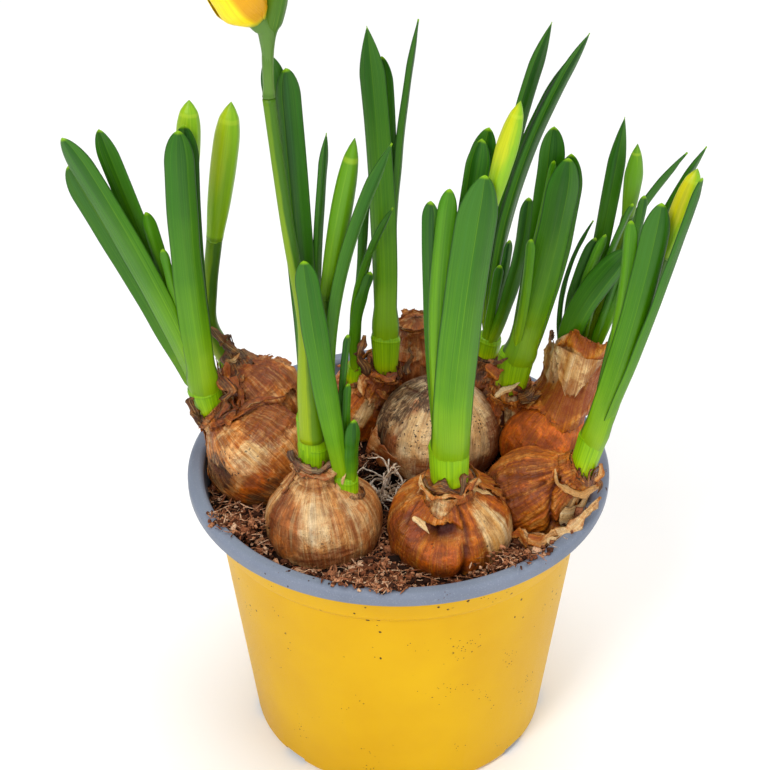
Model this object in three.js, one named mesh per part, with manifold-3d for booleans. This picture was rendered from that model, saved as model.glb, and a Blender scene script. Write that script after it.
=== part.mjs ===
// Potted daffodil: a round nursery pot packed with sprouting bulbs, with buds and one opening bloom.
// Millimetres, +Z up. The origin is the centre of the pot's flat base, and -Y is the front.
import * as THREE from "three";
import { mergeVertices } from "three/addons/utils/BufferGeometryUtils.js";
import Module from "manifold-3d";

const wasm = await Module();
wasm.setup();

// Driving dimensions of the pot; two-number radii are at the foot and at the top
const POT_HEIGHT = 94;
const RIM_RADIUS = 65;
const RIM_WIDTH = 5;
const RIM_DEPTH = 4.2;
const RIM_ROUND = 1.1;
const COLLAR_DEPTH = 10;
const COLLAR_RADIUS = [58.8, 61.6];
const SHOULDER_DEPTH = 2.6;
const WALL_RADIUS = [46.6, 56.2];
const WALL = 1.2;
const FLOOR = 1.6;
const BASE_CHAMFER = 1.4;
const DRAIN_COUNT = 11;
const DRAIN_WIDTH = 9;
const DRAIN_HEIGHT = 2.4;
const DRAIN_DEPTH = 7;
const DRAIN_TURN = -4.6;
const RIM_STEP = 0.4;
const POT_SIDES = 36;

// What touches is kept this far apart
const GAP = 0.3;

// Soil level below the rim, its rings, and the low and high spots on it: [x, y, height, spread]
const SOIL_DROP = 9.5;
const SOIL_SIDES = 20;
const SOIL_RINGS = [1, 0.82, 0.62, 0.42, 0.2];
const SOIL_RIPPLES = [0.6, 0.4];
const SOIL_SPOTS = [
  [-6, -53, 7, 10],
  [-48, -26, 4, 12],
  [36, -44, 2, 11],
  [-4, -3, -3, 9],
  [0, 56, 4, 12],
];

// Bulbs: centre of the widest part, radius there, where the neck ends and how wide it is there.
// noses: further noses grown from the same bulb. skins: loose patches of tunic, see tunicFlap.
const BULBS = {
  left: {
    centre: [-42.6, 1.4, 95.5],
    radius: 16.6,
    neck: [-57, 8, 106.5],
    neckRadius: 5.3,
    noses: [{ centre: [-42.6, 21, 102.4], radius: 13, neck: [-53, 27.6, 111.4], neckRadius: 4.2 }],
    skins: [{ around: [-60, 30], rise: [0.5, 0.98], lift: 1.4 }],
  },
  front_left: {
    centre: [-22.6, -24.6, 90],
    radius: 17.7,
    neck: [-24.8, -22.2, 108.4],
    neckRadius: 5.4,
    skins: [{ around: [150, 215], rise: [0.78, 1.08], lift: 1.2 }],
  },
  front_right: {
    centre: [15, -27.5, 90],
    radius: 18.6,
    neck: [14.9, -30.8, 109.6],
    neckRadius: 6.6,
    skins: [
      { around: [15, 75], rise: [0.45, 1.0], lift: 2.2 },
      { around: [205, 250], rise: [0.6, 1.02], lift: 1.4 },
    ],
  },
  centre: {
    centre: [12.4, 15, 96],
    radius: 19.6,
    neck: [14, 18, 115],
    neckRadius: 2.6,
    skins: [{ around: [190, 240], rise: [-0.35, 0.3], lift: 1.6 }],
  },
  back_left: {
    centre: [-11.5, 32, 93],
    radius: 13,
    neck: [-4.6, 26.6, 111],
    neckRadius: 5.4,
    skins: [
      { around: [95, 160], rise: [0.4, 1.02], lift: 2 },
      { around: [235, 300], rise: [0.55, 1.05], lift: 1.6 },
    ],
  },
  back: {
    centre: [7, 45.5, 97],
    radius: 10.5,
    neck: [5.6, 45, 115],
    neckRadius: 4.4,
    skins: [{ around: [200, 330], rise: [0.5, 1.1], lift: 1.2 }],
  },
  back_right: {
    centre: [25.5, 40.5, 94],
    radius: 11.6,
    neck: [28, 40, 107],
    neckRadius: 4.8,
    skins: [],
  },
  inner_right: {
    centre: [36.5, 22, 97],
    radius: 11.6,
    neck: [35, 16.6, 111],
    neckRadius: 5.6,
    skins: [{ around: [190, 245], rise: [0.35, 0.98], lift: 1.8 }],
  },
  right: {
    centre: [44.5, 10, 94],
    radius: 13,
    neck: [54, 16, 109],
    neckRadius: 7.2,
    skins: [],
  },
  right_front: {
    centre: [39.6, -14.4, 92],
    radius: 14,
    neck: [54.6, -18.6, 105],
    neckRadius: 5.4,
    skins: [
      { around: [-70, 5], rise: [0.5, 1], lift: 2 },
      { around: [-110, -40], rise: [0.75, 0.3], lift: 2.8 },
    ],
  },
};

// Rings and sides of a bulb, and its loose tunic: thickness and how deep its root is sunk
const BULB_RINGS = [0, 0.14, 0.28, 0.42, 0.57, 0.72, 0.86, 1];
const BULB_SIDES = 12;
const TUNIC_THICK = 0.8;
const TUNIC_ROOT = 1.2;

// Papery collar of the right bulb: the arc it covers, its distance from the shoot at its foot and its
// crest, how deep it starts, how high it stands at the sides and how much more at the front
const PAPER_ARC = [165, 385];
const PAPER_REACH = [7.4, 10.4];
const PAPER_ROOT = 4;
const PAPER_CREST = 13;
const PAPER_FRONT = 6;
const PAPER_THICK = 0.9;

// Shoots. foot: where the sheath leaves the bulb's neck. ring: top of the pale sheath, from the foot.
// sheath: [width at the foot, width at the ring]. Each leaf's reach is from the foot to its tip.
// bow is how far the middle leaves the straight line, turn the way its back faces (0 to the front,
// 90 to the right), seat where it stands in the sheath, base its width there as a share of the whole.
const SHOOTS = {
  left: {
    bulb: "left",
    foot: [-58, 8, 108],
    ring: [-1.5, 0, 7.5],
    sheath: [7.4, 9],
    leaves: [
      { reach: [-3.7, -6, 98.9], width: 9.4, bow: [-1.5, -1.4, 0], turn: 4, seat: [0, -1.6] },
      { reach: [-2.7, 0.5, 97.4], width: 8.8, bow: [-1.6, 0, 0], turn: 184, seat: [0.2, 0.4] },
      { reach: [-37.5, 0, 93.6], width: 9, bow: [2.6, -1, 0], turn: -14, seat: [-0.6, -0.4] },
      { reach: [-37.2, 4, 82.5], width: 8.4, bow: [0, 1.4, 0], turn: 170, seat: [-1, 0.6] },
      { reach: [-27.9, 7, 92.7], width: 7.4, bow: [-0.3, 1.4, 0], turn: 172, seat: [-0.4, 1.2] },
      { reach: [-15.9, 5, 66.7], width: 4.4, bow: [-0.8, 1, 0], turn: 10, seat: [0.4, 1.2] },
      { reach: [-11, -1.6, 58], width: 3, bow: [-0.7, 0, 0], turn: 0, seat: [0.4, -0.6] },
    ],
    stems: [{ path: [[0.4, 1.6, 4], [-4, 7, 40], [-4, 7.6, 69]], radius: [2.1, 1.9] }],
    buds: { left: { stem: 0, to: [-1.6, 8.2, 101.4], radius: 3.7 } },
  },
  left_nose: {
    bulb: "left",
    foot: [-53.6, 28, 112],
    ring: [-0.9, 0.2, 6],
    sheath: [6, 5.2],
    leaves: [],
    stems: [{ path: [[-0.4, 0, 2], [-4.8, 0.6, 12], [-4.5, 1.4, 27], [-2.4, 2, 43.8]], radius: [2, 2.3] }],
    buds: { left_nose: { stem: 0, to: [4.6, 4, 89], radius: 4.1 } },
  },
  front_left: {
    bulb: "front_left",
    foot: [-25, -22, 109],
    ring: [0, 0, 7.2],
    sheath: [8.4, 9],
    innerRing: [0.2, 0, 19],
    leaves: [
      { reach: [-4.6, 2.4, 127.4], width: 7.4, bow: [0.4, 1.6, 0], turn: 22, seat: [0.6, 0.4], base: 0.9 },
      { reach: [-9.3, 6, 129.5], width: 7.2, bow: [2, 1, 0], turn: 186, seat: [-0.2, 1.8], base: 0.8 },
      { reach: [5.5, 8, 105.4], width: 3.4, bow: [-1.5, 1, 0], turn: 40, seat: [1.6, 1.6], sharp: true },
    ],
    stems: [
      { path: [[-0.2, -1.2, 10], [-1.4, -2.2, 48.6], [-5.4, -2.4, 83], [-9.1, -2.4, 121]], radius: [2, 1.5] },
      { path: [[2, 0.8, 12], [4.2, 1.4, 32.4], [4.8, 2.2, 43], [4.6, 2.6, 56.5]], radius: [1.8, 1.7] },
    ],
    buds: { front_left: { stem: 1, to: [13.3, 2.6, 106.7], radius: 3.1 } },
  },
  front_side: {
    bulb: "front_left",
    foot: [-15.4, -26.4, 103],
    ring: [0, 0, 4],
    sheath: [6.8, 7],
    leaves: [
      { reach: [-10.4, -5, 81.4], width: 7.4, bow: [-0.3, -1.4, 0], turn: 6, seat: [-1, -1.2], base: 0.5 },
      { reach: [1, 0.4, 37.5], width: 2.8, bow: [-0.7, 0.2, 0], turn: 15, seat: [1, 0.4] },
      { reach: [2.6, -2, 26.4], width: 4.8, bow: [-0.3, -0.4, 0], turn: 20, seat: [1.8, -1], base: 0.8 },
      { reach: [1.2, 2.6, 52.6], width: 2.4, bow: [-1.7, 0.4, 0], turn: 20, seat: [0.4, 1.2] },
      { reach: [13.7, 1.4, 114], width: 4.6, bow: [-9.4, 0.8, 0], turn: 38, seat: [-0.8, 1], sharp: true },
    ],
  },
  back_side: {
    bulb: "back_left",
    foot: [-13.4, 27.4, 107],
    ring: [0.2, 0, 4],
    sheath: [6, 5.4],
    leaves: [
      { reach: [4, 1.6, 68.2], width: 3, bow: [-0.1, 1, 0], turn: 10, seat: [-0.6, 1], sharp: true },
      { reach: [11.8, -6.5, 64.7], width: 2.8, bow: [-5.4, -0.8, 0], turn: 30, seat: [0.6, -1], sharp: true },
      { reach: [5.9, -3, 50.6], width: 2.6, bow: [-1.9, -0.4, 0], turn: 20, seat: [0.4, 0], sharp: true },
      { reach: [5.1, -5.5, 41.9], width: 3.6, bow: [-2.3, -0.8, 0], turn: 16, seat: [0, -1.4] },
    ],
  },
  back_left: {
    bulb: "back_left",
    foot: [-4, 26, 112],
    ring: [0, 0, 10.5],
    sheath: [7.2, 9],
    leaves: [
      { reach: [-5, 3, 114.3], width: 7.8, bow: [1.6, -0.6, 0], turn: -6, seat: [-0.6, -1.2], lance: true },
      { reach: [-0.8, 7, 103], width: 6.4, bow: [0.9, 1.2, 0], turn: 176, seat: [0.4, 1.2] },
      { reach: [9.9, 8, 114.2], width: 5, bow: [-2.5, 1, 0], turn: 58, seat: [2.2, 0.6], sharp: true },
    ],
  },
  front_right: {
    bulb: "front_right",
    foot: [15, -31, 109],
    ring: [-0.3, 0, 13.3],
    sheath: [9.6, 10.8],
    leaves: [
      { reach: [7.8, -6, 104.8], width: 12, bow: [-1.5, -1.6, 0], turn: 4, seat: [0.4, -1.8], base: 0.86 },
      { reach: [-1.3, -1, 98], width: 5.8, bow: [-2.6, -0.4, 0], turn: -16, seat: [-1.6, -0.4] },
      { reach: [-6.3, 2, 92.7], width: 5, bow: [-1.2, 0.4, 0], turn: -24, seat: [-2.6, 0.6] },
      { reach: [9.2, 9, 111.1], width: 7.4, bow: [-2.8, 2, 0], turn: 178, seat: [0.6, 2.4] },
      { reach: [7.3, 5, 109.7], width: 7, bow: [-1.8, 1.2, 0], turn: 170, seat: [0.2, 1.4] },
    ],
    stems: [{ path: [[2.4, 0, 6], [4.8, -0.2, 50], [9.8, -0.4, 93]], radius: [2, 1.7] }],
    buds: { front_right: { stem: 0, to: [16.7, -1.6, 124.2], radius: 3.2 } },
  },
  inner_right: {
    bulb: "inner_right",
    foot: [35, 16, 112],
    ring: [1.5, 0, 11],
    sheath: [8, 9.6],
    leaves: [
      { reach: [13.8, -5, 81.4], width: 10.2, bow: [1.4, -1.2, 0], turn: 4, seat: [0.6, -1.4], base: 0.84 },
      { reach: [14.9, -1.4, 80.9], width: 9.6, bow: [2.1, 0.2, 0], turn: 184, seat: [0.8, 0.2], base: 0.8 },
      { reach: [10.1, 5, 86.4], width: 8.2, bow: [1.9, 1.4, 0], turn: 176, seat: [0.2, 1.6] },
      { reach: [10.3, 2.4, 76.7], width: 2.6, bow: [-0.2, 0.6, 0], turn: 0, seat: [0, 0.8] },
      { reach: [3.8, -7, 55.8], width: 3, bow: [0.9, -1, 0], turn: -20, seat: [-1.6, -1.8] },
    ],
  },
  back_right: {
    bulb: "back_right",
    foot: [28.1, 40, 108],
    ring: [0.8, 0, 5],
    sheath: [7.6, 7.8],
    leaves: [
      { reach: [17.2, 8.6, 110.7], width: 5.2, bow: [-4.3, 1.4, 0], turn: 16, seat: [0, 1.2], sharp: true },
      { reach: [22.4, 5.4, 100.4], width: 4.6, bow: [-7, 1, 0], turn: 200, seat: [0.8, 0.6], sharp: true },
      { reach: [27.9, 2, 110.1], width: 5, bow: [-7.4, 0, 0], turn: 32, seat: [1.2, -0.6], sharp: true },
      { reach: [12.7, 9, 75.3], width: 2.8, bow: [-2.1, 1.6, 0], turn: 10, seat: [-0.6, 1.8] },
      { reach: [6.3, -2, 42.7], width: 3, bow: [0.6, -0.6, 0], turn: 20, seat: [-0.6, -1.2] },
      { reach: [3.4, -5, 35.5], width: 2.8, bow: [0, -0.6, 0], turn: -10, seat: [-1.4, -1.4] },
      { reach: [11.3, -8, 60.9], width: 4.8, bow: [1.9, -1.4, 0], turn: 0, seat: [0.4, -1.6] },
    ],
  },
  right: {
    bulb: "right",
    foot: [54, 16, 110],
    ring: [1, 0.4, 7],
    sheath: [9, 9.6],
    leaves: [
      { reach: [11.9, 9.6, 89.2], width: 5.6, bow: [0.7, 1.6, 0], turn: -8, seat: [0, 1.8], sharp: true },
      { reach: [31, 10, 77.4], width: 3, bow: [-6.5, 1.2, 1.6], turn: 50, seat: [2.4, 1.6], sharp: true },
      { reach: [14.8, -0.6, 66.1], width: 2.8, bow: [-2, 0, 1], turn: 30, seat: [1, 0] },
      { reach: [18, 0.4, 68.2], width: 3, bow: [2.6, -0.6, 0], turn: 10, seat: [2, -0.6] },
      { reach: [4.2, 6, 56.6], width: 2.8, bow: [-5.5, 0.6, 0], turn: 50, seat: [-2.4, 1.4], sharp: true },
      { reach: [4.9, 3, 52.4], width: 3.8, bow: [-3.5, 0.6, 0], turn: 10, seat: [-1.4, 1] },
      { reach: [7.5, 0.6, 55], width: 3.8, bow: [-2.7, 0, 0], turn: 10, seat: [-0.6, 0] },
      { reach: [13.6, -6, 53.5], width: 8, bow: [-7.4, -1, -1], turn: -22, seat: [-1.4, -1.6], base: 0.7 },
      { reach: [12.5, -0.6, 45.9], width: 2.8, bow: [0, -0.4, 0], turn: 10, seat: [2.4, -0.8] },
    ],
    stems: [{ path: [[1.6, 1.6, 4], [8.6, 4, 30], [14.2, 5, 59]], radius: [1.7, 1.5] }],
    buds: { right: { stem: 0, to: [15.6, 5, 82.8], radius: 2.4 } },
  },
  right_front: {
    bulb: "right_front",
    foot: [55, -19, 106],
    ring: [2.6, 0, 11],
    sheath: [7.4, 8.6],
    leaves: [
      { reach: [16.6, -5, 92.2], width: 7.4, bow: [1.4, -1.2, 0], turn: -8, seat: [0.4, -1.4] },
      { reach: [9, -1.4, 84.7], width: 4.4, bow: [2.6, 0, 0], turn: -20, seat: [-0.8, -0.4] },
      { reach: [26.5, -7, 101.1], width: 5, bow: [0.8, -1.4, 0], turn: 50, seat: [1.8, -0.8] },
      { reach: [29.5, 8, 102.6], width: 3.4, bow: [-5.6, 1.6, 1], turn: 40, seat: [1.2, 1.6], sharp: true },
      { reach: [16.9, 7, 76.8], width: 3.2, bow: [0.4, 1.4, 0], turn: 0, seat: [0, 1.8] },
    ],
    stems: [{ path: [[1.2, 0.4, 6], [10, 0.8, 38], [19.2, 0.8, 72]], radius: [1.8, 1.5] }],
    buds: { right_front: { stem: 0, to: [26.3, 0.4, 99.9], radius: 2.8 } },
  },
};

// Leaf section: thickness along the midrib and at the edges, and how deep the channel is for its width
const MIDRIB = 1.8;
const EDGE = 0.8;
const CHANNEL = 0.13;

// How far from its end a leaf starts to narrow, for its width, and the narrowest its tip gets
const BLUNT_TIP = 1;
const LANCE_TIP = 2;
const SHARP_TIP = 2.8;
const TIP_WIDTH = 0.8;

// Leaves under this width have fewer rings
const SLIM_LEAF = 5;

// Where in its sheath a leaf starts, as a share of the ring's height
const LEAF_START = 0.6;

// The sheath stands this deep in its socket, is this deep for its width, steps in by this much at its
// ring and ends this far over it
const SOCKET_DEPTH = 4;
const SHEATH_OVAL = 0.78;
const SHEATH_STEP = 0.35;
const SHEATH_END = 1.4;
const SHEATH_SIDES = 8;

// Flower stems and closed buds: their sides, and their depth for their width
const STEM_SIDES = 6;
const BUD_SIDES = 8;
const STEM_OVAL = 0.9;

// Opening bloom: where its tube leaves the spathe, from the shoot's foot, the way it looks, and its parts
const BLOOM_BASE = [-9.4, -2.6, 141.2];
const BLOOM_AXIS = [-0.56, -0.12, 0.82];
const TUBE_LENGTH = 4;
const TUBE_RADIUS = 2.6;
const TEPAL_COUNT = 6;
const TEPAL_LENGTH = 22;
const TEPAL_WIDTH = 13;
const TEPAL_THICK = 0.8;
const TEPAL_BULGE = 8;
const TEPAL_STEP = 1.5;
const CORONA_LENGTH = 14;
const CORONA_RADIUS = [2.9, 4.6];
const CORONA_WALL = 0.9;
const CORONA_FRILLS = 6;
const CORONA_FRILL = 0.4;
const CORONA_SIDES = 18;
const TUBE_SIDES = 10;
const SPATHE_PATH = [
  [-9.1, -2.4, 121.4],
  [-8.9, -2.4, 134],
  [-7.8, -2.2, 143],
  [-4.4, -1.4, 158],
];
const SPATHE_RADII = [
  [0, 1.8],
  [0.06, 1.5],
  [0.42, 1.7],
  [0.6, 3],
  [0.72, 3.2],
  [0.9, 1.8],
  [1, 0.5],
];

// Roots bared in the dip between the front bulbs: the knot they grow from, and where each ends
const ROOT_KNOT = [-5, -4, 82.5];
const ROOT_RADIUS = 0.55;
const ROOT_ARCH = 3;
const ROOT_SIDES = 4;
const ROOT_ENDS = [
  [-14, -2, 86],
  [-11, 6, 86.5],
  [1, -1, 88],
  [4, -8, 87],
  [0, -13, 86.5],
  [-7, -11, 87.5],
  [-12, -8, 87],
];

// Colours
const GREEN_LEAF = 0x4f8a2e;
const GREEN_BUD = 0x8fb52a;
const GREEN_SPATHE = 0x7ea03c;
const YELLOW_TEPAL = 0xf7d21c;
const YELLOW_CORONA = 0xf0a81a;
const YELLOW_POT = 0xf0be22;
const BROWN_BULB = 0xa8703c;
const BROWN_SOIL = 0x3a2318;
const CREAM_ROOT = 0xcdb893;

const FRONT = new THREE.Vector3(0, -1, 0);

const vector = (list) => new THREE.Vector3(...list);
const mix = (from, to, share) => from + (to - from) * share;
const radians = THREE.MathUtils.degToRad;
const union = (solids) => solids.reduce((sum, solid) => sum.add(solid));

// A closed three.js geometry as a solid that faces out
function solidOf(geometry) {
  const bare = geometry.clone();
  bare.deleteAttribute("normal");
  bare.deleteAttribute("uv");
  const merged = mergeVertices(bare, 1e-4);
  const triVerts = new Uint32Array(merged.index.array);
  const vertProperties = new Float32Array(merged.attributes.position.array);
  const made = new wasm.Manifold(new wasm.Mesh({ numProp: 3, vertProperties, triVerts }));
  if (made.volume() > 0) return made;
  triVerts.reverse();
  return new wasm.Manifold(new wasm.Mesh({ numProp: 3, vertProperties, triVerts }));
}

// Adds one named mesh made from a solid
function place(parent, name, solid, color, roughness) {
  const cut = solid.getMesh();
  const geometry = new THREE.BufferGeometry();
  geometry.setAttribute("position", new THREE.BufferAttribute(cut.vertProperties, 3));
  geometry.setIndex(new THREE.BufferAttribute(cut.triVerts, 1));
  geometry.computeVertexNormals();
  const material = new THREE.MeshStandardMaterial({ color, roughness, metalness: 0 });
  const mesh = new THREE.Mesh(geometry, material);
  mesh.name = name;
  parent.add(mesh);
}

// A closed solid through rings of points that all have the same count.
// The second half of each ring splits its faces the other way, so both sides of a blade split alike.
function loft(rings) {
  const count = rings[0].length;
  const points = rings.flat();
  const index = [];
  for (let i = 0; i + 1 < rings.length; i++) {
    for (let j = 0; j < count; j++) {
      const a = i * count + j;
      const b = i * count + ((j + 1) % count);
      const c = a + count;
      const d = b + count;
      if (j < count / 2) index.push(a, b, d, a, d, c);
      else index.push(a, b, c, b, d, c);
    }
  }
  for (const end of [0, rings.length - 1]) {
    const start = end * count;
    const middle = points.length;
    const sum = rings[end].reduce((total, point) => total.add(point), new THREE.Vector3());
    points.push(sum.divideScalar(count));
    for (let j = 0; j < count; j++) {
      const next = start + ((j + 1) % count);
      if (end === 0) index.push(middle, next, start + j);
      else index.push(middle, start + j, next);
    }
  }
  return solidOf(new THREE.BufferGeometry().setFromPoints(points).setIndex(index));
}

// A closed plate between two grids of points, rows by columns
function plate(front, back) {
  const rows = front.length;
  const columns = front[0].length;
  const at = (side, i, j) => side * rows * columns + i * columns + j;
  const index = [];
  for (let i = 0; i + 1 < rows; i++) {
    for (let j = 0; j + 1 < columns; j++) {
      index.push(at(0, i, j), at(0, i, j + 1), at(0, i + 1, j + 1));
      index.push(at(0, i, j), at(0, i + 1, j + 1), at(0, i + 1, j));
      index.push(at(1, i, j), at(1, i + 1, j + 1), at(1, i, j + 1));
      index.push(at(1, i, j), at(1, i + 1, j), at(1, i + 1, j + 1));
    }
  }
  const border = [];
  for (let j = 0; j < columns; j++) border.push([0, j]);
  for (let i = 1; i < rows; i++) border.push([i, columns - 1]);
  for (let j = columns - 2; j >= 0; j--) border.push([rows - 1, j]);
  for (let i = rows - 2; i > 0; i--) border.push([i, 0]);
  border.forEach(([i, j], k) => {
    const [m, n] = border[(k + 1) % border.length];
    index.push(at(0, i, j), at(1, i, j), at(0, m, n));
    index.push(at(0, m, n), at(1, i, j), at(1, m, n));
  });
  const points = [...front.flat(), ...back.flat()];
  return solidOf(new THREE.BufferGeometry().setFromPoints(points).setIndex(index));
}

// A turned solid about +Z from [radius, height] points
function turned(profile, segments) {
  const points = profile.map(([r, z]) => new THREE.Vector2(r, z));
  return solidOf(new THREE.LatheGeometry(points, segments).rotateX(Math.PI / 2));
}

// Two directions square to an axis: the first as near as can be to the one given
function squareTo(axis, near) {
  const first = near.clone().addScaledVector(axis, -near.dot(axis)).normalize();
  const second = new THREE.Vector3().crossVectors(axis, first).normalize();
  return [first, second];
}

// An oval tube along a curve, widest from left to right.
// radii: [share of the way, radius] pairs; depth: its depth for its width
function ovalTube(curve, radii, sides, depth) {
  const rings = radii.map(([share, radius]) => {
    const point = curve.getPointAt(share);
    const [out, side] = squareTo(curve.getTangentAt(share), FRONT);
    const ring = [];
    for (let j = 0; j < sides; j++) {
      const angle = (2 * Math.PI * j) / sides;
      const across = side.clone().multiplyScalar(radius * Math.cos(angle));
      ring.push(across.addScaledVector(out, radius * depth * Math.sin(angle)).add(point));
    }
    return ring;
  });
  return loft(rings);
}

// The pot: thin wall with a shoulder under the collar, a flat rolled rim and drain slots round the base
function pot() {
  const rimFoot = POT_HEIGHT - RIM_DEPTH;
  const collarFoot = rimFoot - COLLAR_DEPTH;
  const shoulder = collarFoot - SHOULDER_DEPTH;
  const inner = RIM_RADIUS - RIM_WIDTH;
  const body = turned(
    [
      [0, 0],
      [WALL_RADIUS[0] - BASE_CHAMFER, 0],
      [WALL_RADIUS[0], BASE_CHAMFER],
      [WALL_RADIUS[1], shoulder],
      [COLLAR_RADIUS[0], collarFoot],
      [COLLAR_RADIUS[1], rimFoot],
      [RIM_RADIUS, rimFoot],
      [RIM_RADIUS, POT_HEIGHT - RIM_ROUND],
      [RIM_RADIUS - RIM_ROUND, POT_HEIGHT],
      [inner + RIM_ROUND, POT_HEIGHT],
      [inner, POT_HEIGHT - RIM_ROUND],
      [COLLAR_RADIUS[1] - WALL - RIM_STEP, rimFoot],
      [COLLAR_RADIUS[0] - WALL, collarFoot],
      [WALL_RADIUS[1] - WALL, shoulder],
      [WALL_RADIUS[0] - WALL, FLOOR + BASE_CHAMFER],
      [WALL_RADIUS[0] - WALL - BASE_CHAMFER, FLOOR],
      [0, FLOOR],
    ],
    POT_SIDES,
  );
  const slots = [];
  for (let i = 0; i < DRAIN_COUNT; i++) {
    const slot = new THREE.BoxGeometry(DRAIN_DEPTH, DRAIN_WIDTH, 2 * DRAIN_HEIGHT);
    slot.translate(WALL_RADIUS[0], 0, 0);
    slot.rotateZ(radians(DRAIN_TURN + (360 * i) / DRAIN_COUNT));
    slots.push(solidOf(slot));
  }
  return slots.reduce((rest, slot) => rest.subtract(slot), body);
}

// Height of the soil at a place
function soilHeight(x, y) {
  let height = POT_HEIGHT - SOIL_DROP;
  for (const [cx, cy, rise, spread] of SOIL_SPOTS) {
    height += rise * Math.exp(-((x - cx) ** 2 + (y - cy) ** 2) / spread ** 2);
  }
  const [long, short] = SOIL_RIPPLES;
  const ripples = long * Math.sin(0.42 * x + 1.3) * Math.cos(0.37 * y);
  return height + ripples + short * Math.sin(0.9 * x - 0.7 * y);
}

// The soil: fills the pot to just under the rim, with an uneven top
function soil() {
  const collarFoot = POT_HEIGHT - RIM_DEPTH - COLLAR_DEPTH;
  const shoulder = collarFoot - SHOULDER_DEPTH;
  const top = POT_HEIGHT - SOIL_DROP;
  const clear = WALL + 2 * GAP;
  const edge = COLLAR_RADIUS[0] - clear + 1;
  const foot = WALL_RADIUS[0] - clear;
  const profile = [
    [0, FLOOR + GAP],
    [foot - 1.5, FLOOR + GAP],
    [foot, FLOOR + 2],
    [WALL_RADIUS[1] - clear, shoulder],
    [COLLAR_RADIUS[0] - clear, collarFoot + GAP],
    ...SOIL_RINGS.map((share) => [edge * share, top]),
    [0, top],
  ];
  const points = profile.map(([r, z]) => new THREE.Vector2(r, z));
  const geometry = new THREE.LatheGeometry(points, SOIL_SIDES).rotateX(Math.PI / 2);
  const position = geometry.attributes.position;
  for (let i = 0; i < position.count; i++) {
    const height = soilHeight(position.getX(i), position.getY(i));
    if (position.getZ(i) > top - 0.5) position.setZ(i, height);
  }
  return solidOf(geometry);
}

// The skin of one bulb nose: its point at a share of the way from base to neck and an angle round it
// in degrees (0 to the right, 270 to the front), pushed out by a little more
function bulbSkin({ centre, radius, neck, neckRadius }, grow) {
  const middle = vector(centre);
  const axis = vector(neck).sub(middle);
  const height = axis.length();
  axis.normalize();
  const [right, back] = squareTo(axis, new THREE.Vector3(1, 0, 0));
  const shape = new THREE.CatmullRomCurve3(
    [
      [-0.92 * radius, 0.36 * radius],
      [-0.7 * radius, 0.72 * radius],
      [-0.32 * radius, 0.96 * radius],
      [0.02 * radius, radius],
      [0.36 * height, 0.9 * radius],
      [0.6 * height, 0.68 * radius],
      [0.8 * height, 0.34 * radius + 0.36 * neckRadius],
      [height - 0.5, neckRadius],
      [height + 1.2, neckRadius * 1.1],
    ].map(([z, r]) => new THREE.Vector3(r, 0, z)),
  );
  return (share, degrees, out = 0) => {
    const at = shape.getPoint(share);
    const angle = radians(degrees);
    const ridges = 1 + 0.02 * Math.cos(3 * angle + radius) + 0.014 * Math.cos(7 * angle + 2 * radius);
    const reach = at.x * ridges + grow + out;
    const end = share === 0 ? -grow : share === 1 ? grow : 0;
    return middle
      .clone()
      .addScaledVector(axis, at.z + end)
      .addScaledVector(right, reach * Math.cos(angle))
      .addScaledVector(back, reach * Math.sin(angle));
  };
}

// A rise on the bulb (-1 at its base, 0 where it is widest, 1 at the neck) as a share of its skin
const skinShare = (rise) => Math.min(0.375 + (rise < 0 ? 0.375 : 0.55) * rise, 0.995);

function bulbNose(nose, grow) {
  const skin = bulbSkin(nose, grow);
  const rings = [];
  for (const share of BULB_RINGS) {
    const ring = [];
    for (let j = 0; j < BULB_SIDES; j++) ring.push(skin(share, (360 * j) / BULB_SIDES));
    rings.push(ring);
  }
  return loft(rings);
}

// A loose patch of papery tunic: it follows the skin from its sunk root and peels off to a free edge
function tunicFlap(bulb, { around, rise, lift }) {
  const skin = bulbSkin(bulb, 0);
  const steps = [0, 1 / 3, 2 / 3, 1];
  const grid = (extra) =>
    steps.map((up) =>
      steps.map((across) => {
        const ragged = 0.05 * Math.sin(15 * across + bulb.radius) * up;
        const middle = 1 - (2 * across - 1) ** 2;
        const peel = mix(-TUNIC_ROOT, lift, up ** 1.3) * mix(0.55, 1, middle);
        return skin(skinShare(mix(...rise, up) + ragged), mix(...around, across), peel + extra);
      }),
    );
  return plate(grid(TUNIC_THICK), grid(0));
}

function bulb(spec, grow) {
  const noses = [spec, ...(spec.noses ?? [])].map((nose) => bulbNose(nose, grow));
  const flaps = grow > 0 ? [] : spec.skins.map((skin) => tunicFlap(spec, skin));
  return union([...noses, ...flaps]);
}

// The tall papery collar that the right bulb's dry tunic makes round its shoot
function paperCollar() {
  const foot = vector(BULBS.right.neck);
  const lean = new THREE.Vector3(0.2, 0.06, 1).normalize();
  const [right, back] = squareTo(lean, new THREE.Vector3(1, 0, 0));
  const grid = (extra) =>
    [0, 1 / 3, 2 / 3, 1].map((up) => {
      const line = [];
      for (let j = 0; j <= 8; j++) {
        const angle = radians(mix(...PAPER_ARC, j / 8));
        const reach = mix(...PAPER_REACH, up) + 0.7 * Math.sin(3 * angle) + extra;
        const front = Math.max(0, -Math.sin(angle));
        const crest = PAPER_CREST + PAPER_FRONT * front + 1.4 * Math.sin(5 * angle);
        const rise = mix(-PAPER_ROOT, crest, up);
        const across = right.clone().multiplyScalar(reach * Math.cos(angle));
        const out = across.addScaledVector(back, reach * Math.sin(angle));
        line.push(out.addScaledVector(lean, rise).add(foot));
      }
      return line;
    });
  return plate(grid(PAPER_THICK), grid(0));
}

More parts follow.
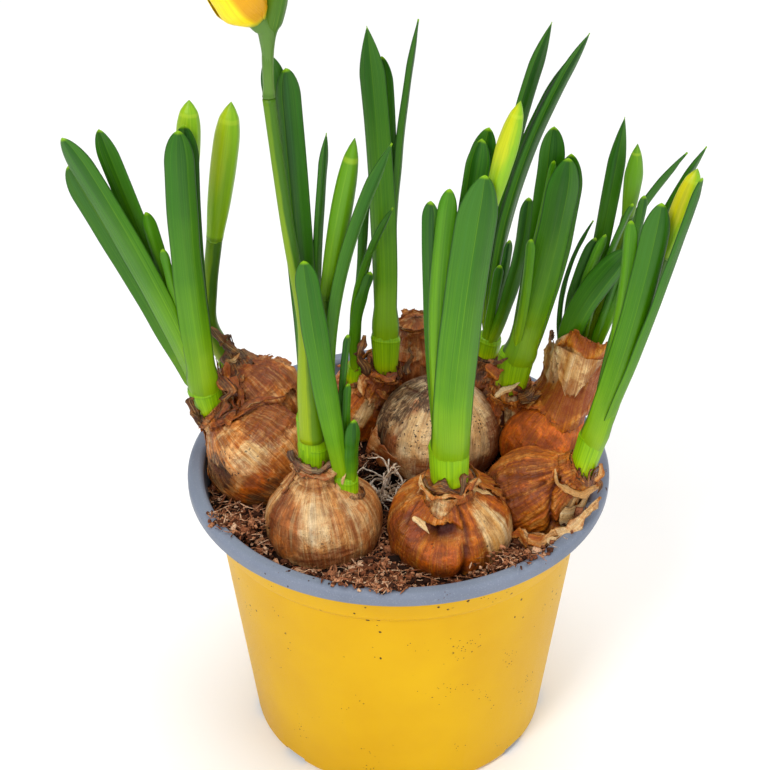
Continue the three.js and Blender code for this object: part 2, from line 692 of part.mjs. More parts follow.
// The pale sheath at a shoot's foot, with the small step where it ends; grow makes its socket
function sheath({ foot, ring, sheath: width }, grow) {
  const up = vector(ring);
  const length = up.length();
  up.normalize();
  const bottom = vector(foot).addScaledVector(up, -SOCKET_DEPTH - grow);
  const top = vector(foot).addScaledVector(up, length + SHEATH_END);
  const [low, high] = width.map((across) => across / 2 + grow);
  const whole = SOCKET_DEPTH + grow + length + SHEATH_END;
  const share = (along) => (SOCKET_DEPTH + grow + along) / whole;
  const radii = [
    [0, low * 0.92],
    [share(0), low],
    [share(length), high],
    [share(length + 0.2), high - SHEATH_STEP],
    [1, high - 2 * SHEATH_STEP],
  ];
  return ovalTube(new THREE.LineCurve3(bottom, top), radii, SHEATH_SIDES, SHEATH_OVAL);
}

// One leaf blade: a shallow channel with its back to the way it is turned, blunt or pointed at the tip
function blade(shoot, { reach, width, bow, turn, seat, base = 0.74, sharp, lance }) {
  const foot = vector(shoot.foot);
  const ring = vector(shoot.innerRing ?? shoot.ring);
  const from = ring.multiplyScalar(LEAF_START).add(foot).add(new THREE.Vector3(seat[0], seat[1], 0));
  const to = foot.clone().add(vector(reach));
  const via = from.clone().lerp(to, 0.5).addScaledVector(vector(bow), 2);
  const curve = new THREE.QuadraticBezierCurve3(from, via, to);
  const narrowing = sharp ? SHARP_TIP : lance ? LANCE_TIP : BLUNT_TIP;
  const tip = 1 - (narrowing * width) / curve.getLength();
  const pointed = sharp || lance;
  const wide = width > SLIM_LEAF;
  const stations = [[0, base]];
  for (const step of wide ? [0.33, 0.68] : [0.5]) {
    stations.push([tip * step, mix(base, 1, Math.min(1.6 * step, 1))]);
  }
  stations.push([tip, 0.96]);
  for (const step of wide ? [0.5, 0.82, 1] : [0.6, 1]) {
    const round = pointed ? 1 - step ** 1.4 : Math.sqrt(1 - step * step);
    stations.push([mix(tip, 1, step), Math.max(0.96 * round, TIP_WIDTH / width)]);
  }
  const angle = radians(turn);
  const facing = new THREE.Vector3(Math.sin(angle), -Math.cos(angle), 0);
  const rings = stations.map(([share, part]) => {
    const [out, side] = squareTo(curve.getTangentAt(share), facing);
    const half = (width / 2) * part;
    const thick = Math.max(mix(MIDRIB, 1, share) * Math.min(1, part * 1.6, width / 4), EDGE);
    const depth = CHANNEL * width * part;
    const section = [
      [-half, EDGE / 2 - depth / 2],
      [0, depth / 2 + thick / 2],
      [half, EDGE / 2 - depth / 2],
      [half, -EDGE / 2 - depth / 2],
      [0, depth / 2 - thick / 2],
      [-half, -EDGE / 2 - depth / 2],
    ];
    const point = curve.getPointAt(share);
    return section.map(([s, n]) => point.clone().addScaledVector(side, s).addScaledVector(out, n));
  });
  return loft(rings);
}

// The middle line of a flower stem, from inside the sheath to the bud's foot
function stemCurve(shoot, k) {
  const foot = vector(shoot.foot);
  return new THREE.CatmullRomCurve3(shoot.stems[k].path.map((point) => foot.clone().add(vector(point))));
}

function stem(shoot, k) {
  const [low, high] = shoot.stems[k].radius;
  const radii = [0, 0.35, 0.7, 1].map((share) => [share, mix(low, high, share)]);
  return ovalTube(stemCurve(shoot, k), radii, STEM_SIDES, STEM_OVAL);
}

// A closed bud in its spathe: slim foot, full middle, pointed tip
function bud(shoot, { stem: k, to, radius }) {
  const line = stemCurve(shoot, k);
  const out = line.getTangent(1);
  const start = line.getPoint(1).addScaledVector(out, GAP);
  const end = vector(shoot.foot).add(vector(to));
  const via = start.clone().lerp(end, 0.5).addScaledVector(out, 1.5);
  const slim = shoot.stems[k].radius[1] + 0.2;
  const radii = [
    [0, slim],
    [0.3, mix(slim, radius, 0.7)],
    [0.55, radius * 0.97],
    [0.7, radius],
    [0.85, radius * 0.72],
    [0.95, radius * 0.34],
    [1, 0.5],
  ];
  return ovalTube(new THREE.QuadraticBezierCurve3(start, via, end), radii, BUD_SIDES, STEM_OVAL);
}

// Leaves, sheath and stems of one shoot, grown as one
function shootSolid(shoot) {
  const pieces = [sheath(shoot, 0)];
  if (shoot.innerRing) {
    const narrower = shoot.sheath.map((width) => width - 2 * SHEATH_STEP);
    pieces.push(sheath({ foot: shoot.foot, ring: shoot.innerRing, sheath: narrower }, 0));
  }
  for (const leaf of shoot.leaves) pieces.push(blade(shoot, leaf));
  for (const k of (shoot.stems ?? []).keys()) pieces.push(stem(shoot, k));
  return union(pieces);
}

// The bloom's own frame: a point at a distance along its axis, a radius and an angle round it
function bloomPoint(along, radius, degrees) {
  const axis = vector(BLOOM_AXIS).normalize();
  const [first, second] = squareTo(axis, FRONT);
  const angle = radians(degrees);
  return vector(SHOOTS.front_left.foot)
    .add(vector(BLOOM_BASE))
    .addScaledVector(axis, along)
    .addScaledVector(first, radius * Math.cos(angle))
    .addScaledVector(second, radius * Math.sin(angle));
}

function bloomRing(along, radius, sides, frill = 0) {
  const ring = [];
  for (let j = 0; j < sides; j++) {
    const degrees = (360 * j) / sides;
    const wave = frill * Math.cos(CORONA_FRILLS * radians(degrees));
    ring.push(bloomPoint(along + wave, radius + wave, degrees));
  }
  return ring;
}

// One cupped tepal; every other one stands inside its neighbours
function tepal(k) {
  const turn = (360 * k) / TEPAL_COUNT;
  const inset = TEPAL_STEP * (k % 2);
  const grid = (extra) =>
    [0, 0.16, 0.4, 0.72, 1].map((share) => {
      const open = Math.sin((Math.min(share / 0.4, 1) * Math.PI) / 2);
      const close = (1.6 * Math.max(0, share - 0.4)) / 0.6;
      const reach = mix(TUBE_RADIUS - 0.6, TEPAL_BULGE - inset, open) - close + extra;
      const half = Math.max(TEPAL_WIDTH * 0.5 * Math.sin(Math.PI * mix(0.2, 0.96, share)) ** 0.7, 0.6);
      return [-1, 0, 1].map((across) => {
        const around = THREE.MathUtils.radToDeg((across * half) / Math.max(reach, 3.4));
        return bloomPoint(TUBE_LENGTH - 1.4 + share * TEPAL_LENGTH, reach, turn + around);
      });
    });
  return plate(grid(TEPAL_THICK), grid(0));
}

// The bloom's tube and its cupped tepals, grown as one, standing clear of the spathe
function tepals() {
  const tube = loft([
    bloomRing(-2, 2, TUBE_SIDES),
    bloomRing(TUBE_LENGTH * 0.5, TUBE_RADIUS, TUBE_SIDES),
    bloomRing(TUBE_LENGTH, TUBE_RADIUS + 0.6, TUBE_SIDES),
  ]);
  const pieces = [tube];
  for (let k = 0; k < TEPAL_COUNT; k++) pieces.push(tepal(k));
  return union(pieces).subtract(spathe(GAP));
}

// The frilled trumpet, closed at its foot
function corona() {
  const foot = TUBE_LENGTH + 1;
  const end = foot + CORONA_LENGTH;
  const middle = foot + CORONA_LENGTH * 0.6;
  const [low, high] = CORONA_RADIUS;
  const waist = mix(low, high, 0.45);
  return loft([
    bloomRing(foot, low, CORONA_SIDES),
    bloomRing(middle, waist, CORONA_SIDES),
    bloomRing(end, high, CORONA_SIDES, CORONA_FRILL),
    bloomRing(end, high - CORONA_WALL, CORONA_SIDES, CORONA_FRILL),
    bloomRing(middle, waist - CORONA_WALL, CORONA_SIDES),
    bloomRing(foot + 1.2, low - CORONA_WALL, CORONA_SIDES),
  ]);
}

// The spathe that the bloom burst from: a slim tube on the flower stem that ends in an upright hood
function spathe(grow) {
  const foot = vector(SHOOTS.front_left.foot);
  const curve = new THREE.CatmullRomCurve3(SPATHE_PATH.map((point) => foot.clone().add(vector(point))));
  const radii = SPATHE_RADII.map(([share, radius]) => [share, radius + grow]);
  return ovalTube(curve, radii, TUBE_SIDES, 0.85);
}

// Bared roots: each arches up from the knot and comes down to its own end
function roots() {
  const knot = vector(ROOT_KNOT);
  const arms = ROOT_ENDS.map((end) => {
    const tip = vector(end);
    const via = knot.clone().lerp(tip, 0.5).add(new THREE.Vector3(0, 0, ROOT_ARCH));
    const curve = new THREE.QuadraticBezierCurve3(knot, via, tip);
    const radii = [0, 0.35, 0.7, 1].map((share) => [share, ROOT_RADIUS * mix(1.4, 0.8, share)]);
    return ovalTube(curve, radii, ROOT_SIDES, 1);
  });
  return union([rootKnot(0), ...arms]);
}

function rootKnot(grow) {
  const low = vector(ROOT_KNOT).add(new THREE.Vector3(0, 0, -3 - grow));
  const high = vector(ROOT_KNOT).add(new THREE.Vector3(0, 0, 2.5 + grow));
  const radii = [0, 0.3, 0.7, 1].map((share) => [share, 1 + 1.6 * Math.sin(Math.PI * share) + grow]);
  return ovalTube(new THREE.LineCurve3(low, high), radii, 8, 1);
}

const root = new THREE.Group();
root.name = "potted_daffodil";
const bulbBed = new THREE.Group();
const greens = new THREE.Group();
root.add(bulbBed, greens);

place(root, "pot", pot(), YELLOW_POT, 0.45);

// Bulbs grown side by side press flat against each other: each gives way to those before it
const grown = [];
for (const [name, spec] of Object.entries(BULBS)) {
  const whole = bulb(spec, 0);
  const body = name === "right" ? whole.add(paperCollar()) : whole;
  const sockets = Object.values(SHOOTS)
    .filter((shoot) => shoot.bulb === name)
    .map((shoot) => sheath(shoot, GAP));
  const cut = [...grown, ...sockets].reduce((rest, other) => rest.subtract(other), body);
  grown.push(bulb(spec, GAP));
  place(bulbBed, "bulb_" + name, cut, BROWN_BULB, 0.6);
}
const ground = [...grown, rootKnot(GAP)].reduce((rest, other) => rest.subtract(other), soil());
place(root, "soil", ground, BROWN_SOIL, 0.95);
place(root, "roots", roots(), CREAM_ROOT, 0.8);

for (const [name, shoot] of Object.entries(SHOOTS)) {
  place(greens, "shoot_" + name, shootSolid(shoot), GREEN_LEAF, 0.4);
  for (const [budName, spec] of Object.entries(shoot.buds ?? {})) {
    place(greens, "bud_" + budName, bud(shoot, spec), GREEN_BUD, 0.4);
  }
}
place(greens, "bloom_spathe", spathe(0), GREEN_SPATHE, 0.5);
place(greens, "bloom_tepals", tepals(), YELLOW_TEPAL, 0.5);
place(greens, "bloom_corona", corona(), YELLOW_CORONA, 0.5);

export default root;
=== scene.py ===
# Potted daffodil: the looks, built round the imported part.
# Shapes are worked out in millimetres and written to the meshes in metres.
import math

import bmesh
import bpy
import numpy as np
from mathutils import Matrix, Vector


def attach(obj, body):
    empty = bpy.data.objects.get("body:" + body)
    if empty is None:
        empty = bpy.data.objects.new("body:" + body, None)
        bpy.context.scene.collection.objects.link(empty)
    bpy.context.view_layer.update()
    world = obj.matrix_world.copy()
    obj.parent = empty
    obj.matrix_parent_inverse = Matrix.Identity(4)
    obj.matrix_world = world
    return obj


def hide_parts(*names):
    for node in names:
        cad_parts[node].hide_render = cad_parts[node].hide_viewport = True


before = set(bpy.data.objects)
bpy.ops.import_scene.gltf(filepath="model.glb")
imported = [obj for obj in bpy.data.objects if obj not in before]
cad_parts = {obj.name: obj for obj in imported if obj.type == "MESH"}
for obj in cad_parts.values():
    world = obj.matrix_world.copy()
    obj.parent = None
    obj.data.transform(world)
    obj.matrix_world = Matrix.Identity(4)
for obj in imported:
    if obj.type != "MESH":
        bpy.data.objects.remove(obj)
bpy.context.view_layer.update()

MM = 0.001

# The pot, as in the part's source
POT_HEIGHT = 94
RIM_RADIUS = 65
RIM_WIDTH = 5
RIM_DEPTH = 4.2
RIM_ROUND = 1.1
COLLAR_DEPTH = 10
COLLAR_RADIUS = (58.8, 61.6)
SHOULDER_DEPTH = 2.6
WALL_RADIUS = (46.6, 56.2)
WALL = 1.2
FLOOR = 1.6
BASE_CHAMFER = 1.4
DRAIN_COUNT = 11
DRAIN_WIDTH = 9
DRAIN_HEIGHT = 2.4
DRAIN_DEPTH = 7
DRAIN_TURN = -4.6
RIM_STEP = 0.4
POT_EASING = 0.7
POT_SIDES = 180
SHARP_TURN = 40
RIM_FOOT = POT_HEIGHT - RIM_DEPTH
COLLAR_FOOT = RIM_FOOT - COLLAR_DEPTH
SHOULDER = COLLAR_FOOT - SHOULDER_DEPTH

# The soil: its level below the rim, and [x, y, height, spread] of its low and high spots
SOIL_DROP = 9.5
SOIL_RIPPLES = (0.6, 0.4)
SOIL_SPOTS = [[-6, -53, 7, 10], [-48, -26, 4, 12], [36, -44, 2, 11], [-4, -3, -3, 9], [0, 56, 4, 12]]
SOIL_GAP = 0.3
SOIL_ROWS = 84
SOIL_SIDES = 170

# Crumbs over the soil, and those spilt over the rim: [x, y, spread, count]
CRUMB_COUNT = 4400
CRUMB_REACH = 58.2
CRUMB_SEED = 11
# The share of fibres, the share of crumbs that aren't big, and how big those are, on the soil and on the rim
FIBRE_SHARES = (0.3, 0.45)
BIG_SHARES = (0.88, 0.85)
BIG_SIZES = (2.1, 1.7)
# The hollow where few crumbs lie: [x, y, radius, share that is left out]
ROOT_HOLLOW = (-4, -1, 11, 0.6)
SPILLS = [
    [-4.5, -58.5, 4, 330], [-2.5, -61.5, 2.4, 110], [-13, -57.5, 3.5, 140], [-49, -30, 4.5, 200],
    [33, -46, 5, 160], [52, -25, 2.5, 24], [-53, -32, 0.8, 5], [48, -38, 4, 6],
]
# The middle of the tangle of roots
ROOT_KNOT = (-5, -4, 82.5)
ROOT_COUNT = 18
ROOT_SEED = 5
ROOT_FORKS = 2

# The opening bloom, as in the part's source
BLOOM_BASE = (-9.4, -2.6, 141.2)
BLOOM_AXIS = (-0.56, -0.12, 0.82)
TUBE_LENGTH = 4
TUBE_RADIUS = 2.6
TEPAL_LENGTH = 22
TEPAL_WIDTH = 13
TEPAL_BULGE = 6.8
TEPAL_STEP = 1.5
TEPAL_COUNT = 6
TEPAL_GRID = (36, 24)
CORONA_LENGTH = 14
CORONA_RADIUS = (2.9, 4.6)
CORONA_ROWS = (30, 26)
CORONA_SIDES = 120
SPATHE_OVAL = 0.85
SPATHE_SIDES = 32
SPATHE_PATH = [(-9.1, -2.4, 121.4), (-8.9, -2.4, 134), (-7.8, -2.2, 143), (-4.4, -1.4, 158)]
SPATHE_RADII = [[0, 1.8], [0.06, 1.5], [0.42, 1.7], [0.6, 3], [0.72, 3.2], [0.9, 1.8], [1, 0.5]]
# The side on which the petals are a deeper yellow
BLOOM_WARM = (0.82, 0, 0.56)

# Leaves, sheaths and stems
MIDRIB = 1.8
EDGE = 0.56
CHANNEL = 0.13
BLADE_SIDES = 24
BLADE_ROWS = (36, 20)
RIDGE = 0.3
TIP_LENGTH = {"blunt": 1.25, "lance": 2, "sharp": 2.8}
LEAF_START = 0.6
LEAF_DEFAULTS = (0.5, "blunt", 0.74)
SOCKET_DEPTH = 4
SHEATH_OVAL = 0.78
SHEATH_STEP = 0.22
SHEATH_END = 1.4
SHEATH_FULLER = 1.06
SHEATH_SIDES = 48
STEM_OVAL = 0.9
STEM_ROWS = 60
STEM_SIDES = 20
BUD_SIDES = 36

# Bulbs: a skin's length up its profile, where its neck begins, a sheet's thickness, and strips of dry skin
SKIN_RUN = 52
NECK_SHARE = 0.97
SHEET = 0.26
BULB_ROWS = 96
BULB_SIDES = 216
COLLAR_ROWS = 22
RIGHT_COLLAR_LEAN = (0.2, 0.06, 1)
RIGHT_COLLAR_GRID = (56, 120)
RIGHT_FLAP_GRID = (34, 40)
STRIP_RINGS = 18
STRIP_SIDES = 8
STRIP_THICK = 0.3
TINTS = ("cream", "dark", "hot", "red", "speck")

# Camera as the photograph's, and lights: [name, place, target, size, power]
CAMERA_PLACE = (0, -0.52486, 0.47744)
CAMERA_FORWARD = (-0.00636, 0.82823, -0.56035)
CAMERA_RIGHT = (0.99998, 0.00523, -0.00361)
CAMERA_UP = (0.00006, 0.56036, 0.82825)
CAMERA_LENS = 98.27
LIGHTS = [
    ["key", (-0.45, -0.8, 1.0), (0, 0, 0.1), 0.4, 7.4],
    ["fill", (0.9, -0.6, 0.6), (0, 0, 0.12), 0.7, 2.5],
    ["front", (0.1, -1.2, 0.5), (0, 0, 0.1), 0.6, 2.2],
]
FLOOR_REACH = 40.0
WORLD_LIGHT = 0.4
SKY_LIGHT = 1.6
SKY_SIZE = 50
SKY_TILT = (-12, 6, 0)
SENSOR_WIDTH = 36
FAR_CLIP = 100

# Bulbs and shoots, as in the part's source. A bulb has one or two noses: [centre, radius, neck, neck's radius]
BULBS = {
    "left": [[(-42.6, 1.4, 95.5), 16.6, (-57, 8, 106.5), 5.3], [(-42.6, 21, 102.4), 13, (-53, 27.6, 111.4), 4.2]],
    "front_left": [[(-22.6, -24.6, 90), 17.7, (-24.8, -22.2, 108.4), 5.4]],
    "front_right": [[(15, -27.5, 90), 18.6, (14.9, -30.8, 109.6), 6.6]],
    "centre": [[(12.4, 15, 96), 19.6, (14, 18, 115), 2.6]],
    "back_left": [[(-11.5, 32, 93), 13, (-4.6, 26.6, 111), 5.4]],
    "back": [[(7, 45.5, 97), 10.5, (5.6, 45, 115), 4.4]],
    "back_right": [[(25.5, 40.5, 94), 11.6, (28, 40, 107), 4.8]],
    "inner_right": [[(36.5, 22, 97), 11.6, (35, 16.6, 111), 5.6]],
    "right": [[(44.5, 10, 94), 13, (54, 16, 109), 7.2]],
    "right_front": [[(39.6, -14.4, 92), 14, (54.6, -18.6, 105), 5.4]],
}

# Shoots: their bulb, foot, the sheath's ring and its widths, and how much fuller it is than in the plain solids.
# A leaf is its tip's x, y, z, its width, its bow's x, y, z, its turn, its seat's x, y, its tone from dark to light,
# its kind of tip and the share of its width at its base. A stem is a path and two radii. A bud is its stem, tip,
# radius, how much wider it is than in the plain solids, how yellow and how sharp.
SHOOTS = {
    "left": {
        "bulb": "left", "foot": (-58, 8, 108), "ring": (-1.5, 0, 7.5), "sheath": (7.4, 9), "fuller": 1.2,
        "leaves": [
            [-3.7, -6, 98.9, 9.4, -1.5, -1.4, 0, 4, 0, -1.6], [-2.7, 0.5, 97.4, 8.8, -1.6, 0, 0, 184, 0.2, 0.4, 0.15],
            [-37.5, 0, 93.6, 9, 2.6, -1, 0, -14, -0.6, -0.4], [-37.2, 4, 82.5, 8.4, 0, 1.4, 0, 170, -1, 0.6, 0.1],
            [-27.9, 7, 92.7, 7.4, -0.3, 1.4, 0, 172, -0.4, 1.2, 0.4],
            [-15.9, 5, 66.7, 4.4, -0.8, 1, 0, 10, 0.4, 1.2, 0.9], [-11, -1.6, 58, 3, -0.7, 0, 0, 0, 0.4, -0.6, 0.8],
        ],
        "stems": [[[(0.4, 1.6, 4), (-4, 7, 40), (-4, 7.6, 69)], (2.1, 1.9)]],
        "bud": [0, (-1.6, 8.2, 101.4), 3.7, 1, 0.2, 0],
    },
    "left_nose": {
        "bulb": "left", "foot": (-53.6, 28, 112), "ring": (-0.9, 0.2, 6), "sheath": (6, 5.2),
        "stems": [[[(-0.4, 0, 2), (-4.8, 0.6, 12), (-4.5, 1.4, 27), (-2.4, 2, 43.8)], (2, 2.3)]],
        "bud": [0, (4.6, 4, 89), 4.1, 1, 0.35, 0],
    },
    "front_left": {
        "bulb": "front_left", "foot": (-25, -22, 109), "ring": (0, 0, 7.2), "sheath": (8.4, 9),
        "inner_ring": (-0.4, -0.6, 17),
        "leaves": [
            [-4.6, 2.4, 127.4, 7.4, 0.4, 1.6, 0, 22, 0.6, 0.4, 0.1, "blunt", 0.9],
            [-9.3, 6, 129.5, 7.2, 2, 1, 0, 186, -0.2, 1.8, 0.05, "blunt", 0.8],
            [5.5, 8, 105.4, 3.4, -1.5, 1, 0, 40, 1.6, 1.6, 0.25, "sharp"],
        ],
        "stems": [
            [[(-0.2, -1.2, 10), (-1.4, -2.2, 48.6), (-5.4, -2.4, 83), (-9.1, -2.4, 121)], (2, 1.5)],
            [[(2, 0.8, 12), (4.2, 1.4, 32.4), (4.8, 2.2, 43), (4.6, 2.6, 56.5)], (1.8, 1.7)],
        ],
        "bud": [1, (13.3, 2.6, 106.7), 3.1, 1, 0, 0.3],
    },
    "front_side": {
        "bulb": "front_left", "foot": (-15.4, -26.4, 103), "ring": (0, 0, 4), "sheath": (6.8, 7),
        "leaves": [
            [-10.4, -5, 81.4, 7.4, -0.3, -1.4, 0, 6, -1, -1.2, 0.5, "blunt", 0.5],
            [1, 0.4, 37.5, 2.8, -0.7, 0.2, 0, 15, 1, 0.4],
            [2.6, -2, 26.4, 4.8, -0.3, -0.4, 0, 20, 1.8, -1, 0.2, "blunt", 0.8],
            [1.2, 2.6, 52.6, 2.4, -1.7, 0.4, 0, 20, 0.4, 1.2, 0.2],
            [13.7, 1.4, 114, 4.6, -9.4, 0.8, 0, 38, -0.8, 1, 0.3, "sharp"],
        ],
    },
    "back_side": {
        "bulb": "back_left", "foot": (-13.4, 27.4, 107), "ring": (0.2, 0, 4), "sheath": (6, 5.4),
        "leaves": [
            [4, 1.6, 68.2, 3, -0.1, 1, 0, 10, -0.6, 1, 0.2, "sharp"],
            [11.8, -6.5, 64.7, 2.8, -5.4, -0.8, 0, 30, 0.6, -1, 0.35, "sharp"],
            [5.9, -3, 50.6, 2.6, -1.9, -0.4, 0, 20, 0.4, 0, 0.3, "sharp"],
            [5.1, -5.5, 41.9, 3.6, -2.3, -0.8, 0, 16, 0, -1.4, 0.25],
        ],
    },
    "back_left": {
        "bulb": "back_left", "foot": (-4, 26, 112), "ring": (0, 0, 10.5), "sheath": (7.2, 9), "fuller": 1.05,
        "leaves": [
            [-5, 3, 114.3, 7.8, 1.6, -0.6, 0, -6, -0.6, -1.2, 0.5, "lance"],
            [-0.8, 7, 103, 6.4, 0.9, 1.2, 0, 176, 0.4, 1.2, 0.2],
            [9.9, 8, 114.2, 5, -2.5, 1, 0, 58, 2.2, 0.6, 0.25, "sharp"],
        ],
    },
    "front_right": {
        "bulb": "front_right", "foot": (15, -31, 109), "ring": (-0.3, 0, 13.3), "sheath": (9.6, 10.8), "fuller": 1.13,
        "leaves": [
            [7.8, -6, 104.8, 12, -1.5, -1.6, 0, 4, 0.4, -1.8, 0.5, "blunt", 0.86],
            [-1.3, -1, 98, 5.8, -2.6, -0.4, 0, -16, -1.6, -0.4, 0.85],
            [-6.3, 2, 92.7, 5, -1.2, 0.4, 0, -24, -2.6, 0.6, 0.15],
            [9.2, 9, 111.1, 7.4, -2.8, 2, 0, 178, 0.6, 2.4, 0.25],
            [7.3, 5, 109.7, 7, -1.8, 1.2, 0, 170, 0.2, 1.4, 0.3],
        ],
        "stems": [[[(2.4, 0, 6), (4.8, -0.2, 50), (9.8, -0.4, 93)], (2, 1.7)]],
        "bud": [0, (16.7, -1.6, 124.2), 3.2, 0.95, 0.6, 0.6],
    },
    "inner_right": {
        "bulb": "inner_right", "foot": (35, 16, 112), "ring": (1.5, 0, 11), "sheath": (8, 9.6), "fuller": 1.22,
        "leaves": [
            [13.8, -5, 81.4, 10.2, 1.4, -1.2, 0, 4, 0.6, -1.4, 0.5, "blunt", 0.84],
            [14.9, -1.4, 80.9, 9.6, 2.1, 0.2, 0, 184, 0.8, 0.2, 0.35, "blunt", 0.8],
            [10.1, 5, 86.4, 8.2, 1.9, 1.4, 0, 176, 0.2, 1.6, 0.2],
            [10.3, 2.4, 76.7, 2.6, -0.2, 0.6, 0, 0, 0, 0.8, 0.9],
            [3.8, -7, 55.8, 3, 0.9, -1, 0, -20, -1.6, -1.8, 0.95],
        ],
    },
    "back_right": {
        "bulb": "back_right", "foot": (28.1, 40, 108), "ring": (0.8, 0, 5), "sheath": (7.6, 7.8),
        "leaves": [
            [17.2, 8.6, 110.7, 5.2, -4.3, 1.4, 0, 16, 0, 1.2, 0.15, "sharp"],
            [22.4, 5.4, 100.4, 4.6, -7, 1, 0, 200, 0.8, 0.6, 0, "sharp"],
            [27.9, 2, 110.1, 5, -7.4, 0, 0, 32, 1.2, -0.6, 0.1, "sharp"],
            [12.7, 9, 75.3, 2.8, -2.1, 1.6, 0, 10, -0.6, 1.8, 0.1],
            [6.3, -2, 42.7, 3, 0.6, -0.6, 0, 20, -0.6, -1.2, 0.1],
            [3.4, -5, 35.5, 2.8, 0, -0.6, 0, -10, -1.4, -1.4, 0.3],
            [11.3, -8, 60.9, 4.8, 1.9, -1.4, 0, 0, 0.4, -1.6, 0.1],
        ],
    },
    "right": {
        "bulb": "right", "foot": (54, 16, 110), "ring": (1, 0.4, 7), "sheath": (9, 9.6),
        "leaves": [
            [11.9, 9.6, 89.2, 5.6, 0.7, 1.6, 0, -8, 0, 1.8, 0.3, "sharp"],
            [31, 10, 77.4, 3 * 1.4, -6.5, 1.2, 1.6, 50, 2.4, 1.6, 0.35, "sharp"],
            [14.8, -0.6, 66.1, 2.8, -2, 0, 1, 30, 1, 0, 0.6], [18, 0.4, 68.2, 3, 2.6, -0.6, 0, 10, 2, -0.6, 0.3],
            [4.2, 6, 56.6, 2.8, -5.5, 0.6, 0, 50, -2.4, 1.4, 0.1, "sharp"],
            [4.9, 3, 52.4, 3.8, -3.5, 0.6, 0, 10, -1.4, 1, 0.15], [7.5, 0.6, 55, 3.8, -2.7, 0, 0, 10, -0.6, 0, 0.9],
            [13.6, -6, 53.5, 8, -7.4, -1, -1, -22, -1.4, -1.6, 0.25, "blunt", 0.7],
            [12.5, -0.6, 45.9, 2.8, 0, -0.4, 0, 10, 2.4, -0.8, 0.3],
        ],
        "stems": [[[(1.6, 1.6, 4), (8.6, 4, 30), (14.2, 5, 59)], (1.7, 1.5)]],
        "bud": [0, (15.6, 5, 82.8), 2.4, 1.15, 0, 1],
    },
    "right_front": {
        "bulb": "right_front", "foot": (55, -19, 106), "ring": (2.6, 0, 11), "sheath": (7.4, 8.6), "fuller": 1.04,
        "leaves": [
            [16.6, -5, 92.2, 7.4 * 1.12, 1.4, -1.2, 0, -8, 0.4, -1.4],
            [9, -1.4, 84.7, 4.4, 2.6, 0, 0, -20, -0.8, -0.4, 0.85],
            [26.5, -7, 101.1, 5, 0.8, -1.4, 0, 50, 1.8, -0.8, 0.3],
            [29.5, 8, 102.6, 3.4, -5.6, 1.6, 1, 40, 1.2, 1.6, 0.3, "sharp"],
            [16.9, 7, 76.8, 3.2, 0.4, 1.4, 0, 0, 0, 1.8, 0.15],
        ],
        "stems": [[[(1.2, 0.4, 6), (10, 0.8, 38), (19.2, 0.8, 72)], (1.8, 1.5)]],
        "bud": [0, (26.3, 0.4, 99.9), 2.8, 1.2, 0.75, 0.3],
    },
}

